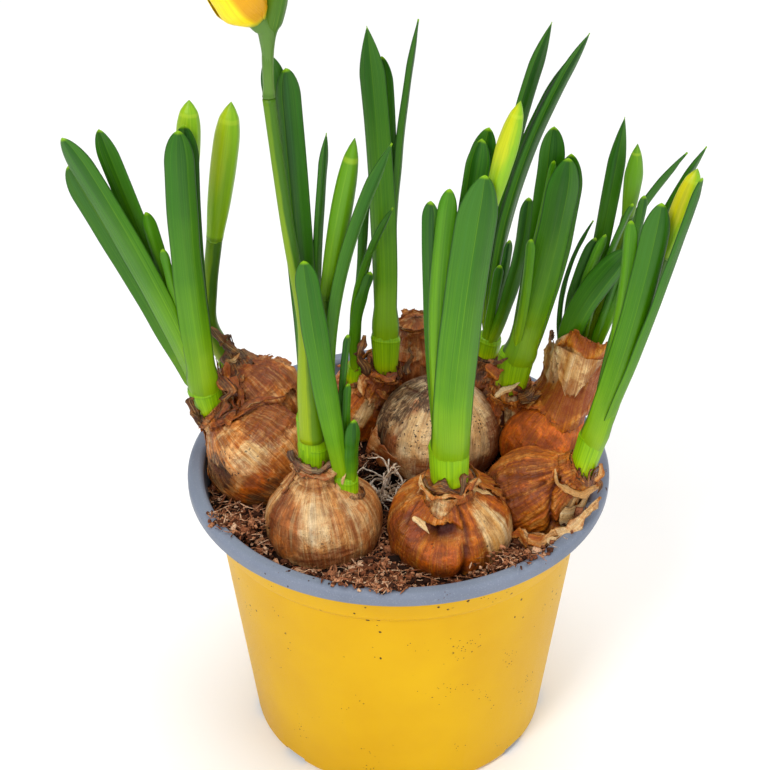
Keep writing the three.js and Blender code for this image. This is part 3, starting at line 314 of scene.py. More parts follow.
# What each bulb looks like: the shades of its skin, its relief (long folds, crumples, folds round its neck), and soft
# patches of tint as [tint, angle, share, degrees wide, share high, strength]; creases are [path of (angle, share),
# width, depth, lip, how much painted shade lies in them], and lobes are [angle, share, degrees wide, share high, rise]
SKINS = {
    "left": {
        "shades": [(156, 86, 52), (222, 148, 96), (248, 200, 148)], "relief": (0.14, 0.32, 0.5), "ruck": 1,
        "detail": 0.93,
        "patches": [
            ["dark", 216, 0.5, 22, 0.12], ["red", 325, 0.46, 50, 0.17], ["red", 262, 0.76, 50, 0.07],
            ["red", 320, 0.84, 60, 0.14], ["cream", 212, 0.8, 30, 0.13, 0.7], ["cream", 262, 0.66, 26, 0.08, 0.6],
            # The dark patch at 225 degrees and share 0.2 is painted shade at the bulb's foot
            ["cream", 272, 0.38, 30, 0.14, 0.7], ["hot", 236, 0.26, 60, 0.08, 0.7], ["dark", 225, 0.2, 60, 0.06, 0.5],
            ["speck", 232, 0.5, 26, 0.16],
        ],
        "creases": [
            [[(270, 0.73), (300, 0.66), (334, 0.61), (364, 0.48)], 0.9, 0.9, 0.5, 0.7],
            [[(224, 0.92), (236, 0.78), (262, 0.73)], 0.7, 0.6, 0.4, 0.5],
            [[(205, 0.55), (226, 0.47)], 1.6, 0.7, 0.2, 0.5],
        ],
    },
    "left_second": {
        "shades": [(140, 70, 36), (198, 116, 66), (230, 168, 114)], "relief": (0.3, 0.5, 0.6), "ruck": 1,
        "detail": 0.62,
        "patches": [["red", 262, 0.6, 80, 0.3], ["dark", 200, 0.9, 60, 0.12], ["dark", 300, 0.94, 60, 0.1]],
        "creases": [[[(230, 0.9), (240, 0.6), (236, 0.4)], 1.2, 1, 0.4, 0.6]],
    },
    "front_left": {
        "shades": [(176, 100, 52), (224, 160, 98), (250, 210, 156)], "relief": (0.2, 0.12, 0.55),
        "hot": (206, 118, 62), "vivid": 1.06,
        "patches": [
            ["cream", 266, 0.55, 24, 0.18, 0.85], ["hot", 222, 0.47, 26, 0.22], ["red", 274, 0.3, 34, 0.07],
            ["red", 205, 0.55, 12, 0.2], ["speck", 270, 0.42, 24, 0.1, 0.4], ["cream", 318, 0.45, 16, 0.2, 0.6],
        ],
        "creases": [
            [[(150, 0.72), (200, 0.79), (250, 0.76), (300, 0.75), (330, 0.7)], 0.6, 0.5, 0.3, 0.3],
            [[(322, 0.72), (336, 0.74)], 1.6, 1.6, 0.5, 0.9],
        ],
    },
    "front_right": {
        "shades": [(156, 72, 34), (212, 124, 66), (242, 186, 130)], "relief": (0.16, 0.3, 0.4),
        "patches": [
            ["hot", 266, 0.43, 26, 0.1], ["hot", 232, 0.56, 12, 0.05], ["red", 208, 0.46, 30, 0.22],
            ["cream", 326, 0.52, 24, 0.3, 0.92], ["cream", 350, 0.4, 14, 0.12, 0.8],
            ["cream", 300, 0.3, 12, 0.08, 0.6], ["hot", 214, 0.66, 16, 0.08],
        ],
        "creases": [
            [[(304, 0.84), (290, 0.77), (294, 0.61), (291, 0.53), (285, 0.41), (282, 0.32)], 1.3, 1.6, 0.3, 0.8],
            [[(228, 0.57), (244, 0.55)], 2.3, 2.4, 0.2, 0.4], [[(242, 0.56), (274, 0.585)], 3.3, 5, 0.4, 1.25],
            [[(340, 0.86), (362, 0.73), (369, 0.58)], 0.6, 0.9, 0.6, 1],
            [[(176, 0.84), (186, 0.75), (198, 0.68), (212, 0.57)], 0.9, 1, 0.6, 0.8],
            [[(166, 0.8), (176, 0.7), (190, 0.62)], 0.6, 0.6, 0.5, 0.5],
        ],
        "lobes": [
            [266, 0.44, 22, 0.08, 1.8], [330, 0.52, 26, 0.2, 0.9], [208, 0.5, 28, 0.2, 0.6],
            [195, 0.74, 30, 0.08, -1.6], [345, 0.78, 26, 0.08, -1.2],
        ],
    },
    "centre": {
        "shades": [(170, 112, 70), (232, 186, 136), (254, 230, 190)], "hot": (204, 120, 78),
        "relief": (0.08, 0.16, 0.2), "pleats": 0, "streaks": (3.2, 4.5), "furrow": 0, "vivid": 1.1, "lace": 0.12,
        "net": 0.1,
        "patches": [
            ["dark", 176, 0.55, 34, 0.34, 1.5], ["dark", 200, 0.8, 80, 0.17, 1.6], ["dark", 212, 0.62, 16, 0.14, 1.2],
            ["cream", 254, 0.46, 26, 0.18], ["cream", 308, 0.52, 34, 0.28], ["hot", 216, 0.36, 16, 0.08, 0.8],
            ["hot", 232, 0.62, 12, 0.07, 0.6], ["speck", 240, 0.64, 80, 0.26, 1.5], ["red", 342, 0.38, 20, 0.2],
            ["red", 296, 0.26, 60, 0.08],
        ],
        "creases": [
            [[(226, 0.4), (234, 0.5), (228, 0.62)], 0.5, 0.4, 0.3, 0.5],
            [[(170, 0.66), (205, 0.7), (240, 0.72)], 0.5, 0.5, 0.3, 0.6],
        ],
    },
    "back_left": {
        "shades": [(146, 70, 38), (206, 122, 72), (238, 182, 128)], "relief": (0.4, 0.5, 0.6), "detail": 0.65,
        "patches": [["red", 240, 0.84, 90, 0.12], ["cream", 258, 0.55, 14, 0.14], ["hot", 284, 0.45, 20, 0.12]],
        "creases": [[[(200, 0.7), (236, 0.74), (280, 0.72)], 1.2, 1.2, 0.5, 0.8]],
    },
    "back": {
        "shades": [(170, 98, 64), (214, 146, 104), (240, 190, 150)], "relief": (0.4, 0.6, 0.4), "detail": 0.5,
        "patches": [["cream", 270, 0.8, 120, 0.4, 0.4]],
    },
    "back_right": {
        "shades": [(112, 58, 34), (178, 108, 64), (222, 166, 118)], "relief": (0.3, 0.5, 0.5), "detail": 0.5,
        "patches": [["dark", 250, 0.84, 90, 0.2]],
    },
    "inner_right": {
        "shades": [(154, 76, 36), (210, 124, 68), (240, 186, 130)], "relief": (0.4, 0.5, 0.6), "detail": 0.65,
        "patches": [
            ["hot", 212, 0.64, 30, 0.14], ["dark", 186, 0.5, 40, 0.15], ["cream", 262, 0.66, 20, 0.1],
            ["red", 160, 0.86, 40, 0.1],
        ],
        "creases": [[[(212, 0.95), (222, 0.8), (240, 0.64), (250, 0.5)], 1.2, 1.4, 0.5, 0.8]],
    },
    "right": {
        "shades": [(214, 92, 34), (244, 134, 62), (252, 180, 112)], "hot": (240, 120, 50), "relief": (0.16, 0.3, 0.3),
        "detail": 0.8,
        "patches": [["hot", 250, 0.4, 80, 0.2], ["red", 300, 0.3, 60, 0.1]],
    },
    "right_front": {
        "shades": [(150, 70, 34), (208, 118, 64), (238, 176, 118)], "relief": (0.22, 0.34, 0.35), "pleats": 0.5,
        "ruck": 0.7,
        "patches": [
            ["red", 205, 0.5, 50, 0.3, 0.7], ["cream", 292, 0.63, 24, 0.1, 0.8], ["cream", 322, 0.7, 20, 0.07, 0.7],
            ["hot", 230, 0.3, 50, 0.08],
        ],
        "creases": [
            [[(222, 0.72), (238, 0.62), (258, 0.55), (286, 0.47)], 1.1, 1.5, 0.6, 0.95],
            [[(302, 0.5), (322, 0.61), (346, 0.76)], 1.2, 1, 0.4, 0.85],
            [[(196, 0.84), (210, 0.76), (232, 0.7)], 0.9, 0.9, 0.5, 0.6],
            [[(212, 0.77), (226, 0.74)], 1.7, 1.8, 0.4, 1.1],
            [[(186, 0.4), (196, 0.56), (200, 0.7)], 0.7, 0.6, 0.4, 0.5],
            [[(214, 0.34), (220, 0.48), (214, 0.62)], 0.7, 0.6, 0.4, 0.5],
        ],
    },
}

# Torn sheets of tunic, and how each lies on its bulb
TUNICS = {
    "left": [
        {"nose": 1, "around": (236, 372), "rise": (0.1, 0.8), "lift": 1.4, "curl": 1.4, "paper": 0.4},
        {"around": (268, 380), "rise": (0.62, 0.96), "lift": 0.8, "curl": 1.6, "paper": 0.5},
        {"around": (60, 190), "rise": (0.35, 0.95), "lift": 0.9, "curl": 1.2, "fine": 0.7},
    ],
    "front_left": [
        {"around": (120, 206), "rise": (0.66, 0.98), "lift": 0.7, "curl": 1},
        {"around": (340, 430), "rise": (0.6, 0.99), "lift": 0.7, "curl": 1.2, "fine": 0.7},
    ],
    "front_right": [
        {"around": (350, 440), "rise": (0.5, 0.99), "lift": 1.4, "curl": 2.2, "paper": 0.8},
        {"around": (176, 236), "rise": (0.72, 0.99), "lift": 0.6, "curl": 1, "paper": 0.8},
        {"around": (182, 318), "rise": (0.69, 0.97), "lift": 1.7, "curl": 0.8, "paper": 0.5, "rag": 0.05,
         "point": 0.92, "cream": 0.62},
    ],
    "back_left": [
        {"around": (80, 200), "rise": (0.5, 0.98), "lift": 1.6, "curl": 1.8},
        {"around": (210, 330), "rise": (0.6, 0.99), "lift": 1.2, "curl": 2},
    ],
    "back": [
        {"around": (160, 380), "rise": (0.45, 0.99), "lift": 1, "curl": 1, "paper": 0.2, "cream": 0.4, "fine": 0.7},
    ],
    "back_right": [
        {"around": (180, 340), "rise": (0.5, 0.99), "lift": 0.8, "curl": 1.4, "fine": 0.7},
    ],
    "inner_right": [
        {"around": (176, 262), "rise": (0.5, 0.99), "lift": 1.2, "curl": 2.2},
        {"around": (250, 330), "rise": (0.6, 0.99), "lift": 0.8, "curl": 1.6},
    ],
    "right": [
        {"around": (180, 310), "rise": (0.5, 0.99), "lift": 0.5, "curl": 0.9, "paper": 0.9, "rag": 0.12},
    ],
    "right_front": [
        {"around": (-36, 20), "rise": (0.56, 0.98), "lift": 1, "curl": 1.6, "paper": 0.9},
        {"around": (150, 250), "rise": (0.74, 0.98), "lift": 0.7, "curl": 1.2},
    ],
}

# Dry collars round the shoots, and torn lips round the two shoots that break through a bulb's shoulder
COLLARS = {
    "left": [
        {"low": 0.86, "height": 1.6, "dark": 0.2, "cream": 0.3},
        {"low": 0.93, "height": 4.2, "dark": 0.8, "rag": 0.5, "crumple": 0.9},
        {"low": 0.93, "height": 6.5, "dark": 0.9, "around": (150, 214), "rag": 0.45, "flare": 0.8},
    ],
    "left_nose": [
        {"low": 0.84, "height": 4.5, "dark": 0.4, "flare": 0.6, "crumple": 0.9},
        {"low": 0.88, "height": 12, "dark": 0.9, "around": (-50, 70), "rag": 0.7, "crumple": 1.2},
    ],
    "front_left": [
        {"low": 0.86, "height": 3, "flare": 1.2, "dark": 0.2, "cream": 0.2, "rag": 0.5},
        {"low": 0.86, "height": 8.6, "flare": 1.3, "dark": 0.6, "rag": 0.5, "crumple": 1.7},
        {"low": 0.92, "height": 6.4, "flare": 0.8, "dark": 0.3, "rag": 0.4, "cream": 0.6},
    ],
    "front_right": [
        {"low": 0.8, "height": 2.6, "flare": 2.2, "dark": 0, "rag": 0.4, "cream": 0.5},
        {"low": 0.9, "height": 5, "flare": 0.7, "dark": 1, "rag": 0.5, "crumple": 1.2},
    ],
    "back_left": [
        {"low": 0.84, "height": 3, "flare": 1.4, "dark": 0.4, "crumple": 1.1},
        {"low": 0.9, "height": 8, "dark": 0.95, "around": (120, 230), "rag": 0.5, "crumple": 1.3},
        {"low": 0.9, "height": 6, "dark": 0.9, "around": (-60, 40), "rag": 0.5, "crumple": 1.1},
    ],
    "back_right": [
        {"low": 0.84, "height": 5, "dark": 0.9, "flare": 0.8, "crumple": 1.2, "rag": 0.7},
    ],
    "inner_right": [
        {"low": 0.82, "height": 1.4, "flare": 1.6, "dark": 0.3, "crumple": 1},
        {"low": 0.9, "height": 4, "dark": 0.2, "cream": 0.6, "around": (190, 300), "flare": 1.2},
    ],
    "right_front": [
        {"low": 0.82, "height": 3.4, "flare": 2, "dark": 0.3, "crumple": 1.2, "rag": 0.5},
        {"low": 0.9, "height": 5, "flare": 0.8, "dark": 0.8, "rag": 0.45, "crumple": 1.1},
    ],
    "front_side": [
        {"height": 2.4, "flare": 1.6, "dark": 0.5, "rag": 0.8},
    ],
    "back_side": [
        {"height": 2.4, "flare": 1.4, "dark": 0.7, "rag": 0.8},
    ],
}

# Torn strips on the bulbs: [path of (angle, share, how far out, how far up), width, values]
SHARDS = {
    "front_right": [
        [[(330, 0.93, 0.4), (350, 0.81, 0.8), (366, 0.62, 0.5)], 2.6, {"cream": 1, "crumple": 0.3}],
        [[(324, 0.97, 0.6, 1), (340, 0.96, 1.6, 2), (352, 0.9, 2.4, 1)], 2.4, {"cream": 0.7, "dark": 0.3}],
        [[(182, 0.97, 0.6, 2), (184, 0.86, 1.4), (190, 0.74, 1)], 2.2, {"cream": 0.6}],
        [[(200, 0.98, 0.4), (190, 0.9, 1.6), (184, 0.84, 3.4)], 2.4, {"paper": 1}],
    ],
    "centre": [
        [[(188, 0.3, 0.8), (204, 0.32, 2.2), (222, 0.31, 2.8), (238, 0.27, 1.6)], 7.5,
         {"cream": 0.4, "taper": 0.8, "crumple": 1.4}],
        [[(192, 0.24, 1.4), (212, 0.24, 3), (236, 0.22, 2.2)], 5, {"cream": 0.1, "red": 0.4, "crumple": 0.8}],
        [[(180, 0.28, 0.6), (196, 0.35, 1.4), (212, 0.37, 1.8)], 3.4, {"dark": 0.5}],
    ],
    "left": [
        [[(356, 0.98, 1, 7), (350, 0.92, 1.4, 3), (322, 0.8, 1.2, 0), (292, 0.68, 0.8, 0)], 4.6,
         {"dark": 0.5, "red": 0.8, "taper": 0.3, "crumple": 1.2, "face": True}],
        [[(4, 0.97, 1.2, 5), (356, 0.88, 1.6, 1), (335, 0.76, 1.2, 0), (305, 0.67, 0.6, 0)], 4.2,
         {"dark": 0.2, "red": 1, "taper": 0.4, "crumple": 1, "face": True}],
        [[(340, 0.98, 0.8, 3), (322, 0.9, 0.9, 0), (300, 0.8, 0.6, 0), (276, 0.73, 0.4, 0)], 3.2,
         {"red": 0.9, "crumple": 0.8}],
        [[(268, 0.55, 0.6), (276, 0.7, 1.2), (286, 0.84, 1.6, 1)], 6,
         {"nose": 1, "dark": 0.5, "taper": 0.4, "crumple": 1}],
        [[(280, 0.62, 0.6), (292, 0.76, 1.4), (306, 0.86, 1.6, 2)], 6,
         {"nose": 1, "dark": 0.8, "taper": 0.4, "crumple": 1.2}],
        [[(270, 0.74, 0.6), (282, 0.86, 1.2, 2), (296, 0.93, 1.4, 5)], 5,
         {"nose": 1, "dark": 0.7, "taper": 0.4, "crumple": 1.2}],
        [[(296, 0.74, 0.8), (310, 0.86, 1.6, 3), (330, 0.93, 1.8, 8)], 4.4,
         {"nose": 1, "dark": 0.9, "taper": 0.5, "crumple": 1.2}],
        [[(310, 0.6, 0.6), (324, 0.74, 1.4), (340, 0.84, 2, 2)], 5,
         {"nose": 1, "dark": 0.4, "red": 0.5, "taper": 0.4}],
        [[(268, 0.73, 0.4), (304, 0.66, 1.8), (336, 0.6, 1.6), (364, 0.48, 1)], 2, {"red": 0.8}],
    ],
    "front_left": [
        [[(314, 0.7, 0.4), (322, 0.76, 1), (334, 0.8, 1.6)], 1.8, {"cream": 0.5}],
        [[(334, 0.7, 0.4), (342, 0.75, 1.6), (350, 0.8, 2.8)], 1.6, {"cream": 0.3}],
    ],
    "right_front": [
        [[(200, 0.74, 0.3), (236, 0.74, 0.9), (290, 0.82, 1.4), (324, 0.9, 2), (344, 0.95, 2.8)], 2.8,
         {"cream": 0.75, "taper": 0.1, "crumple": 1}],
        [[(276, 0.57, 2), (304, 0.64, 2.8), (338, 0.76, 2.6)], 6.8,
         {"cream": 0.9, "paper": 1, "taper": 0.92, "crumple": 0.3}],
    ],
    "inner_right": [
        [[(286, 0.95, 1, 1), (312, 0.96, 2.4, 3), (340, 0.95, 2.6, 3.4)], 4, {"dark": 0.7}],
        [[(120, 0.9, 1, 0), (130, 0.97, 1.6, 3), (140, 0.98, 1, 6)], 5, {"paper": 1, "red": 0.7}],
        [[(150, 0.86, 1, 0), (156, 0.94, 1.8, 2), (150, 0.97, 1.4, 5)], 4, {"paper": 1, "cream": 0.4}],
        [[(290, 0.95, 1), (310, 0.99, 2.4), (330, 1, 4)], 2.6, {"dark": 0.8}],
    ],
    "back_left": [
        [[(214, 0.86, 0.6), (226, 0.76, 2.4), (240, 0.7, 2.4)], 4.2, {"cream": 0.5}],
        [[(262, 0.8, 0.6), (284, 0.76, 2.6), (300, 0.72, 3)], 3.6, {"red": 0.6}],
    ],
    "right": [
        [[(190, 0.8, 0.4), (198, 0.66, 1.8), (214, 0.54, 1.6)], 4, {"paper": 1}],
    ],
}

# Loose strips: [path in millimetres, width, values]
FLAPS = {
    "right_front": [
        [[(34.4, -32, 89), (41.3, -35.5, 91), (47.7, -35.7, 93.8), (54.2, -32.5, 96.5), (60.5, -25.8, 100)], 4.8,
         {"cream": 0.7, "taper": 0.75, "crumple": 1}],
        [[(32.7, -30.4, 90), (37.2, -34.7, 90), (42.4, -36.6, 91.5), (46.4, -36.4, 94)], 3.8,
         {"cream": 0.45, "taper": 0.5, "crumple": 1.5}],
        [[(58.5, -24.2, 104), (59.8, -23.2, 106.2), (59.9, -21.8, 108.2)], 1.9,
         {"cream": 0.5, "taper": 0.3, "crumple": 0.9}],
        [[(59, -23, 104.5), (60.4, -23, 101.2), (59.6, -23, 99.3)], 1.8, {"dark": 0.8, "crumple": 0.6}],
    ],
    "left": [
        [[(-61.5, 3, 107.3), (-62.8, 3, 111.1), (-63.7, 4, 113.4), (-63.1, 5, 115.3)], 3,
         {"dark": 1, "taper": 0.5, "crumple": 0.8}],
        [[(-60.2, 2, 106.5), (-62.6, 2, 108.8), (-63.8, 3, 110.3)], 2.4, {"dark": 0.8, "crumple": 0.8}],
        [[(-54.1, 8, 121.7), (-51.6, 5, 117.9), (-52.5, 2, 114), (-55.4, 1, 108.7)], 3.2,
         {"dark": 0.5, "red": 0.6, "taper": 0.5, "crumple": 1.9}],
        [[(-52.2, 12, 121.3), (-48.8, 8, 116.9), (-48.4, 4, 112.6), (-51.5, 1, 108.7)], 3,
         {"dark": 0.2, "red": 0.8, "taper": 0.5, "crumple": 1.9}],
        [[(-55.7, 0, 108), (-49.5, 1, 111.7), (-42.8, 3, 114.8), (-34.9, 4, 115.6)], 2.4,
         {"dark": 0.3, "red": 0.9, "crumple": 1}],
        [[(-57.1, 23, 127), (-54, 22, 123.9), (-50.1, 21, 120.1)], 2.6, {"dark": 1, "taper": 0.3, "crumple": 1.3}],
        [[(-54.1, 18, 117.3), (-51.3, 19, 118.8), (-49.1, 20, 121.2)], 2.4,
         {"cream": 0.6, "dark": 0.3, "crumple": 1}],
    ],
    "inner_right": [
        [[(30.1, 10, 111.1), (33.1, 10.5, 113.4), (37.8, 12, 115.3)], 2.5,
         {"cream": 1.1, "paper": 0, "taper": 0.9, "crumple": 0.6}],
        [[(35.6, 11, 113), (39.4, 12, 111.2), (42.1, 14, 110.2)], 2.6, {"dark": 0.4, "red": 0.6, "crumple": 0.9}],
        [[(28.4, 14, 122.1), (31.1, 12, 122.7), (32.9, 12, 124.2)], 2.2, {"dark": 1, "crumple": 1.2}],
        [[(27.6, 14, 119.2), (30.5, 11, 119), (32.7, 11, 120.4)], 3.2, {"red": 0.4, "cream": 0.2, "crumple": 1}],
    ],
    "front_left": [
        [[(-28.7, -26, 109), (-30.7, -25, 112.2), (-31.6, -24, 115.5)], 2.6,
         {"dark": 0.8, "taper": 0.4, "crumple": 1.1}],
        [[(-29.7, -27, 113.3), (-26.5, -28.5, 111.9), (-22.4, -28.5, 111.9), (-19.2, -27, 114.1)], 2.2,
         {"dark": 0.7, "taper": 0.2, "crumple": 1.2}],
        [[(-29.2, -28, 111.2), (-25.4, -29, 109.7), (-20.6, -29, 110.4), (-17.7, -27, 112.2)], 2.4,
         {"cream": 0.5, "taper": 0.2, "crumple": 1.2}],
        [[(-20.1, -27, 113.3), (-17.7, -27, 111.9), (-16.3, -28, 108.2)], 2.2, {"dark": 0.9, "crumple": 1.2}],
        [[(-15.7, -29, 106.1), (-16.6, -29, 108.3), (-15.4, -28, 110.4)], 1.4, {"cream": 0.8, "crumple": 0.4}],
    ],
    "front_right": [
        [[(7.4, -36, 114.2), (10.3, -38, 112.4), (14.1, -38.5, 111.7), (18.1, -38, 112.4), (20.7, -36, 114.6)], 2.8,
         {"dark": 0.6, "red": 0.5, "taper": 0.1, "crumple": 1.8}],
        [[(7.1, -38, 112.8), (10.6, -40, 110.7), (14.6, -40.5, 110.4), (18.4, -40, 111.4), (21.3, -38, 113.9)], 1.1,
         {"cream": 0.5, "taper": 0.2, "crumple": 1.3}],
        [[(7.4, -37.5, 111), (6.6, -36, 112.8), (6.6, -35, 114.9)], 1.7, {"cream": 0.8, "crumple": 0.5}],
        [[(20.2, -37, 109.9), (21.6, -36, 112), (22.5, -34, 113.8)], 2.2, {"cream": 0.5, "dark": 0.3, "crumple": 1}],
        [[(4.6, -44.4, 106.4), (6.6, -46.6, 105.2), (8.8, -48.6, 103.4)], 2.5,
         {"cream": 1.1, "paper": 0.2, "taper": 0.95, "crumple": 0.6}],
    ],
    "back_left": [
        [[(-9.2, 22, 112), (-11.6, 21, 119), (-10.6, 22, 126.1)], 3, {"dark": 1, "taper": 0.6, "crumple": 1.1}],
        [[(2.1, 22, 111.6), (3.6, 23, 116.2), (3.3, 24, 122.2)], 2.4, {"dark": 0.9, "crumple": 1}],
        [[(-8.2, 20, 113), (-4.5, 19, 111.4), (-0.1, 20, 112.9)], 3,
         {"dark": 0.3, "red": 0.7, "taper": 0.3, "crumple": 1.2}],
    ],
}


def vec(values):
    return np.array(values, dtype=float)


FRONT, RIGHT = vec([0, -1, 0]), vec([1, 0, 0])


def unit(values):
    return values / np.linalg.norm(values, axis=-1, keepdims=True)


def mix(low, high, share):
    return low + (high - low) * share


def smooth(low, high, value):
    t = np.clip((value - low) / (high - low), 0, 1)
    return t * t * (3 - 2 * t)


def bell(value, wide):
    return np.exp(-((value / wide) ** 2))


def circle(count):
    return 2 * np.pi * np.arange(count) / count


def square_to(axis, near):
    """Two directions square to each axis: the first as near as can be to the one given."""
    first = unit(near - axis * np.sum(axis * near, axis=-1, keepdims=True))
    return first, unit(np.cross(axis, first))


# Smooth noise, the same on every run
def lattice(cells, seed):
    mixed = cells[:, 0] * 374761393 + cells[:, 1] * 668265263 + cells[:, 2] * 69069069 + seed * 974634777
    mixed = mixed & 0xFFFFFFFF
    mixed = ((mixed ^ (mixed >> 13)) * 1274126177) & 0xFFFFFFFF
    return ((mixed ^ (mixed >> 16)) & 0xFFFF) / 32767.5 - 1


def noise(points, scale=1.0, seed=0):
    """Noise from -1 to 1 at an array of points with three coordinates."""
    flat = np.reshape(points, (-1, 3)) * scale
    base = np.floor(flat).astype(np.int64)
    part = flat - base
    part = part * part * (3 - 2 * part)
    total = np.zeros(len(flat))
    for corner in range(8):
        step = np.array([corner & 1, corner >> 1 & 1, corner >> 2 & 1])
        total += np.prod(np.where(step, part, 1 - part), axis=1) * lattice(base + step, seed)
    return total.reshape(np.shape(points)[:-1])


def layered(points, scale=1.0, seed=0, octaves=4):
    total = 0
    for k in range(octaves):
        total = total + noise(points, scale * 2**k, seed + 17 * k) / 2**k
    return total / 1.8


def ridged(points, seed, octaves=3):
    """Sharp crests with hollows between them, from about -0.5 to 1."""
    total = 0
    for k in range(octaves):
        total = total + (0.5 - 2.2 * np.abs(noise(points, 2**k, int(seed) + 17 * k))) / 1.8**k
    return np.clip(total / 1.3, -0.6, 1)


def grid3(a, b, c=0.0):
    """Three arrays as points for the noise."""
    return np.stack(np.broadcast_arrays(a, b, c), axis=-1).astype(float)


def spun(turn, fine, up=0.0):
    """Points for noise that meets itself round a sheet."""
    return grid3(np.cos(turn), np.sin(turn), 0) * fine + grid3(0, 0, up)


# Curves
def centripetal(points, steps=400):
    """A centripetal Catmull-Rom curve: its points at even shares from 0 to 1."""
    p = vec(points)
    p = np.vstack([2 * p[0] - p[1], p, 2 * p[-1] - p[-2]])
    spans = len(p) - 3
    place = np.linspace(0, spans, steps + 1)
    span = np.minimum(place.astype(int), spans - 1)
    t = (place - span)[:, None]
    p0, p1, p2, p3 = (p[span + k] for k in range(4))
    d0, d1, d2 = (np.linalg.norm(b - a, axis=1)[:, None] ** 0.5 for a, b in ((p0, p1), (p1, p2), (p2, p3)))
    t1 = ((p1 - p0) / d0 - (p2 - p0) / (d0 + d1) + (p2 - p1) / d1) * d1
    t2 = ((p2 - p1) / d1 - (p3 - p1) / (d1 + d2) + (p3 - p2) / d2) * d1
    c2 = -3 * p1 + 3 * p2 - 2 * t1 - t2
    c3 = 2 * p1 - 2 * p2 + t1 + t2
    return p1 + t1 * t + c2 * t**2 + c3 * t**3


def bezier(a, b, c, steps=400):
    t = np.linspace(0, 1, steps + 1)[:, None]
    return (1 - t) ** 2 * a + 2 * t * (1 - t) * b + t**2 * c


def along(line, shares):
    """Points and tangents of a dense line at shares of its length."""
    gaps = np.linalg.norm(np.diff(line, axis=0), axis=1)
    run = np.concatenate([[0], np.cumsum(gaps)])
    want = np.asarray(shares) * run[-1]
    slopes = np.gradient(line, run, axis=0)
    points, tangents = (
        np.stack([np.interp(want, run, of[:, k]) for k in range(3)], axis=-1) for of in (line, slopes)
    )
    return points, unit(tangents), run[-1]


# Meshes
class Heap:
    """Skins gathered into one mesh, with the values that the materials read at each point."""

    def __init__(self):
        self.points, self.faces, self.values = [], [], []
        self.count = 0

    def add(self, points, faces, **values):
        flat = np.reshape(points, (-1, 3))
        self.points.append(flat)
        self.faces.extend([[index + self.count for index in face] for face in faces])
        self.values.append({name: np.broadcast_to(v, len(flat)) for name, v in values.items()})
        self.count += len(flat)

    def piece(self, name, material, slot, *replaced):
        mesh = bpy.data.meshes.new(name)
        mesh.from_pydata((np.vstack(self.points) * MM).tolist(), [], self.faces)
        for key in sorted({key for part in self.values for key in part}):
            parts = [part.get(key, np.zeros(len(p))) for part, p in zip(self.values, self.points)]
            mesh.attributes.new(key, "FLOAT", "POINT").data.foreach_set("value", np.concatenate(parts))
        finish_piece(name, mesh, material, slot, *replaced)


def linked(name, data):
    obj = bpy.data.objects.new(name, data)
    bpy.context.scene.collection.objects.link(obj)
    return obj


def finish_piece(name, mesh, material, slot, *replaced):
    bm = bmesh.new()
    bm.from_mesh(mesh)
    bmesh.ops.recalc_face_normals(bm, faces=bm.faces)
    bm.to_mesh(mesh)
    bm.free()
    mesh.polygons.foreach_set("use_smooth", [True] * len(mesh.polygons))
    mesh.materials.append(material)
    obj = linked(name, mesh)
    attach(obj, "root")
    if replaced:
        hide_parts(*replaced)
    return obj


def grid_faces(rows, columns, closed=False):
    i = np.arange(rows - 1)[:, None] * columns
    j = np.arange(columns if closed else columns - 1)[None]
    a, b = i + j, i + (j + 1) % columns
    return np.stack([a, b, b + columns, a + columns], axis=-1).reshape(-1, 4).tolist()


def loft(rings):
    """Points and faces of a closed skin through rings of points."""
    count, sides = rings.shape[:2]
    points = np.vstack([rings.reshape(-1, 3), [rings[0].mean(0), rings[-1].mean(0)]])
    faces = grid_faces(count, sides, closed=True)
    first, last, start = count * sides, count * sides + 1, (count - 1) * sides
    for j in range(sides):
        after = (j + 1) % sides
        faces += [[first, after, j], [last, start + j, start + after]]
    return points, faces


def ends(values, shape, first=0.0, last=0.0):
    """Values over a loft's rings and at its two closing points."""
    return np.concatenate([np.ravel(np.broadcast_to(values, shape)), [first, last]])


def ovals(centre, side, out, wide, deep, angle):
    """Rings of points, half as wide and as deep as given."""
    return centre + side * (wide * np.cos(angle))[..., None] + out * (deep * np.sin(angle))[..., None]


def tube(line, shares, angle, radius, oval=1.0, near=FRONT):
    """A closed skin round a line, with the line's shares along it and the angle's cosine and sine round it."""
    centre, tangent, _ = along(line, shares)
    out, side = square_to(tangent, near)
    rings = ovals(centre[:, None], side[:, None], out[:, None], radius, radius * oval, angle)
    shape = rings.shape[:2]
    round_it = {"cx": ends(np.cos(angle), shape), "cy": ends(np.sin(angle), shape)}
    return *loft(rings), {"along": ends(shares[:, None], shape, 0, 1), **round_it}


def plate(front, back, keep):
    """Points and faces of a thin closed sheet between two grids; keep says which cells stay."""
    rows, columns = front.shape[:2]
    quads = np.array(grid_faces(rows, columns))[keep.ravel()]
    points = np.concatenate([front.reshape(-1, 3), back.reshape(-1, 3)])
    total = rows * columns
    faces = quads.tolist() + (quads[:, ::-1] + total).tolist()
    edges = np.concatenate([quads[:, [k, (k + 1) % 4]] for k in range(4)])
    keys = np.sort(edges, axis=1) @ [total, 1]
    _, where, counts = np.unique(keys, return_index=True, return_counts=True)
    for a, b in edges[where[counts == 1]].tolist():
        faces.append([b, a, a + total, b + total])
    used = np.unique(np.array([index for face in faces for index in face]))
    renumber = np.full(2 * total, -1)
    renumber[used] = np.arange(len(used))
    return points[used], [[int(renumber[i]) for i in face] for face in faces], used % total


def sheet_grid(rows, columns, low=0.0):
    return np.meshgrid(np.linspace(0, 1, rows), np.linspace(low, 1, columns), indexing="ij")


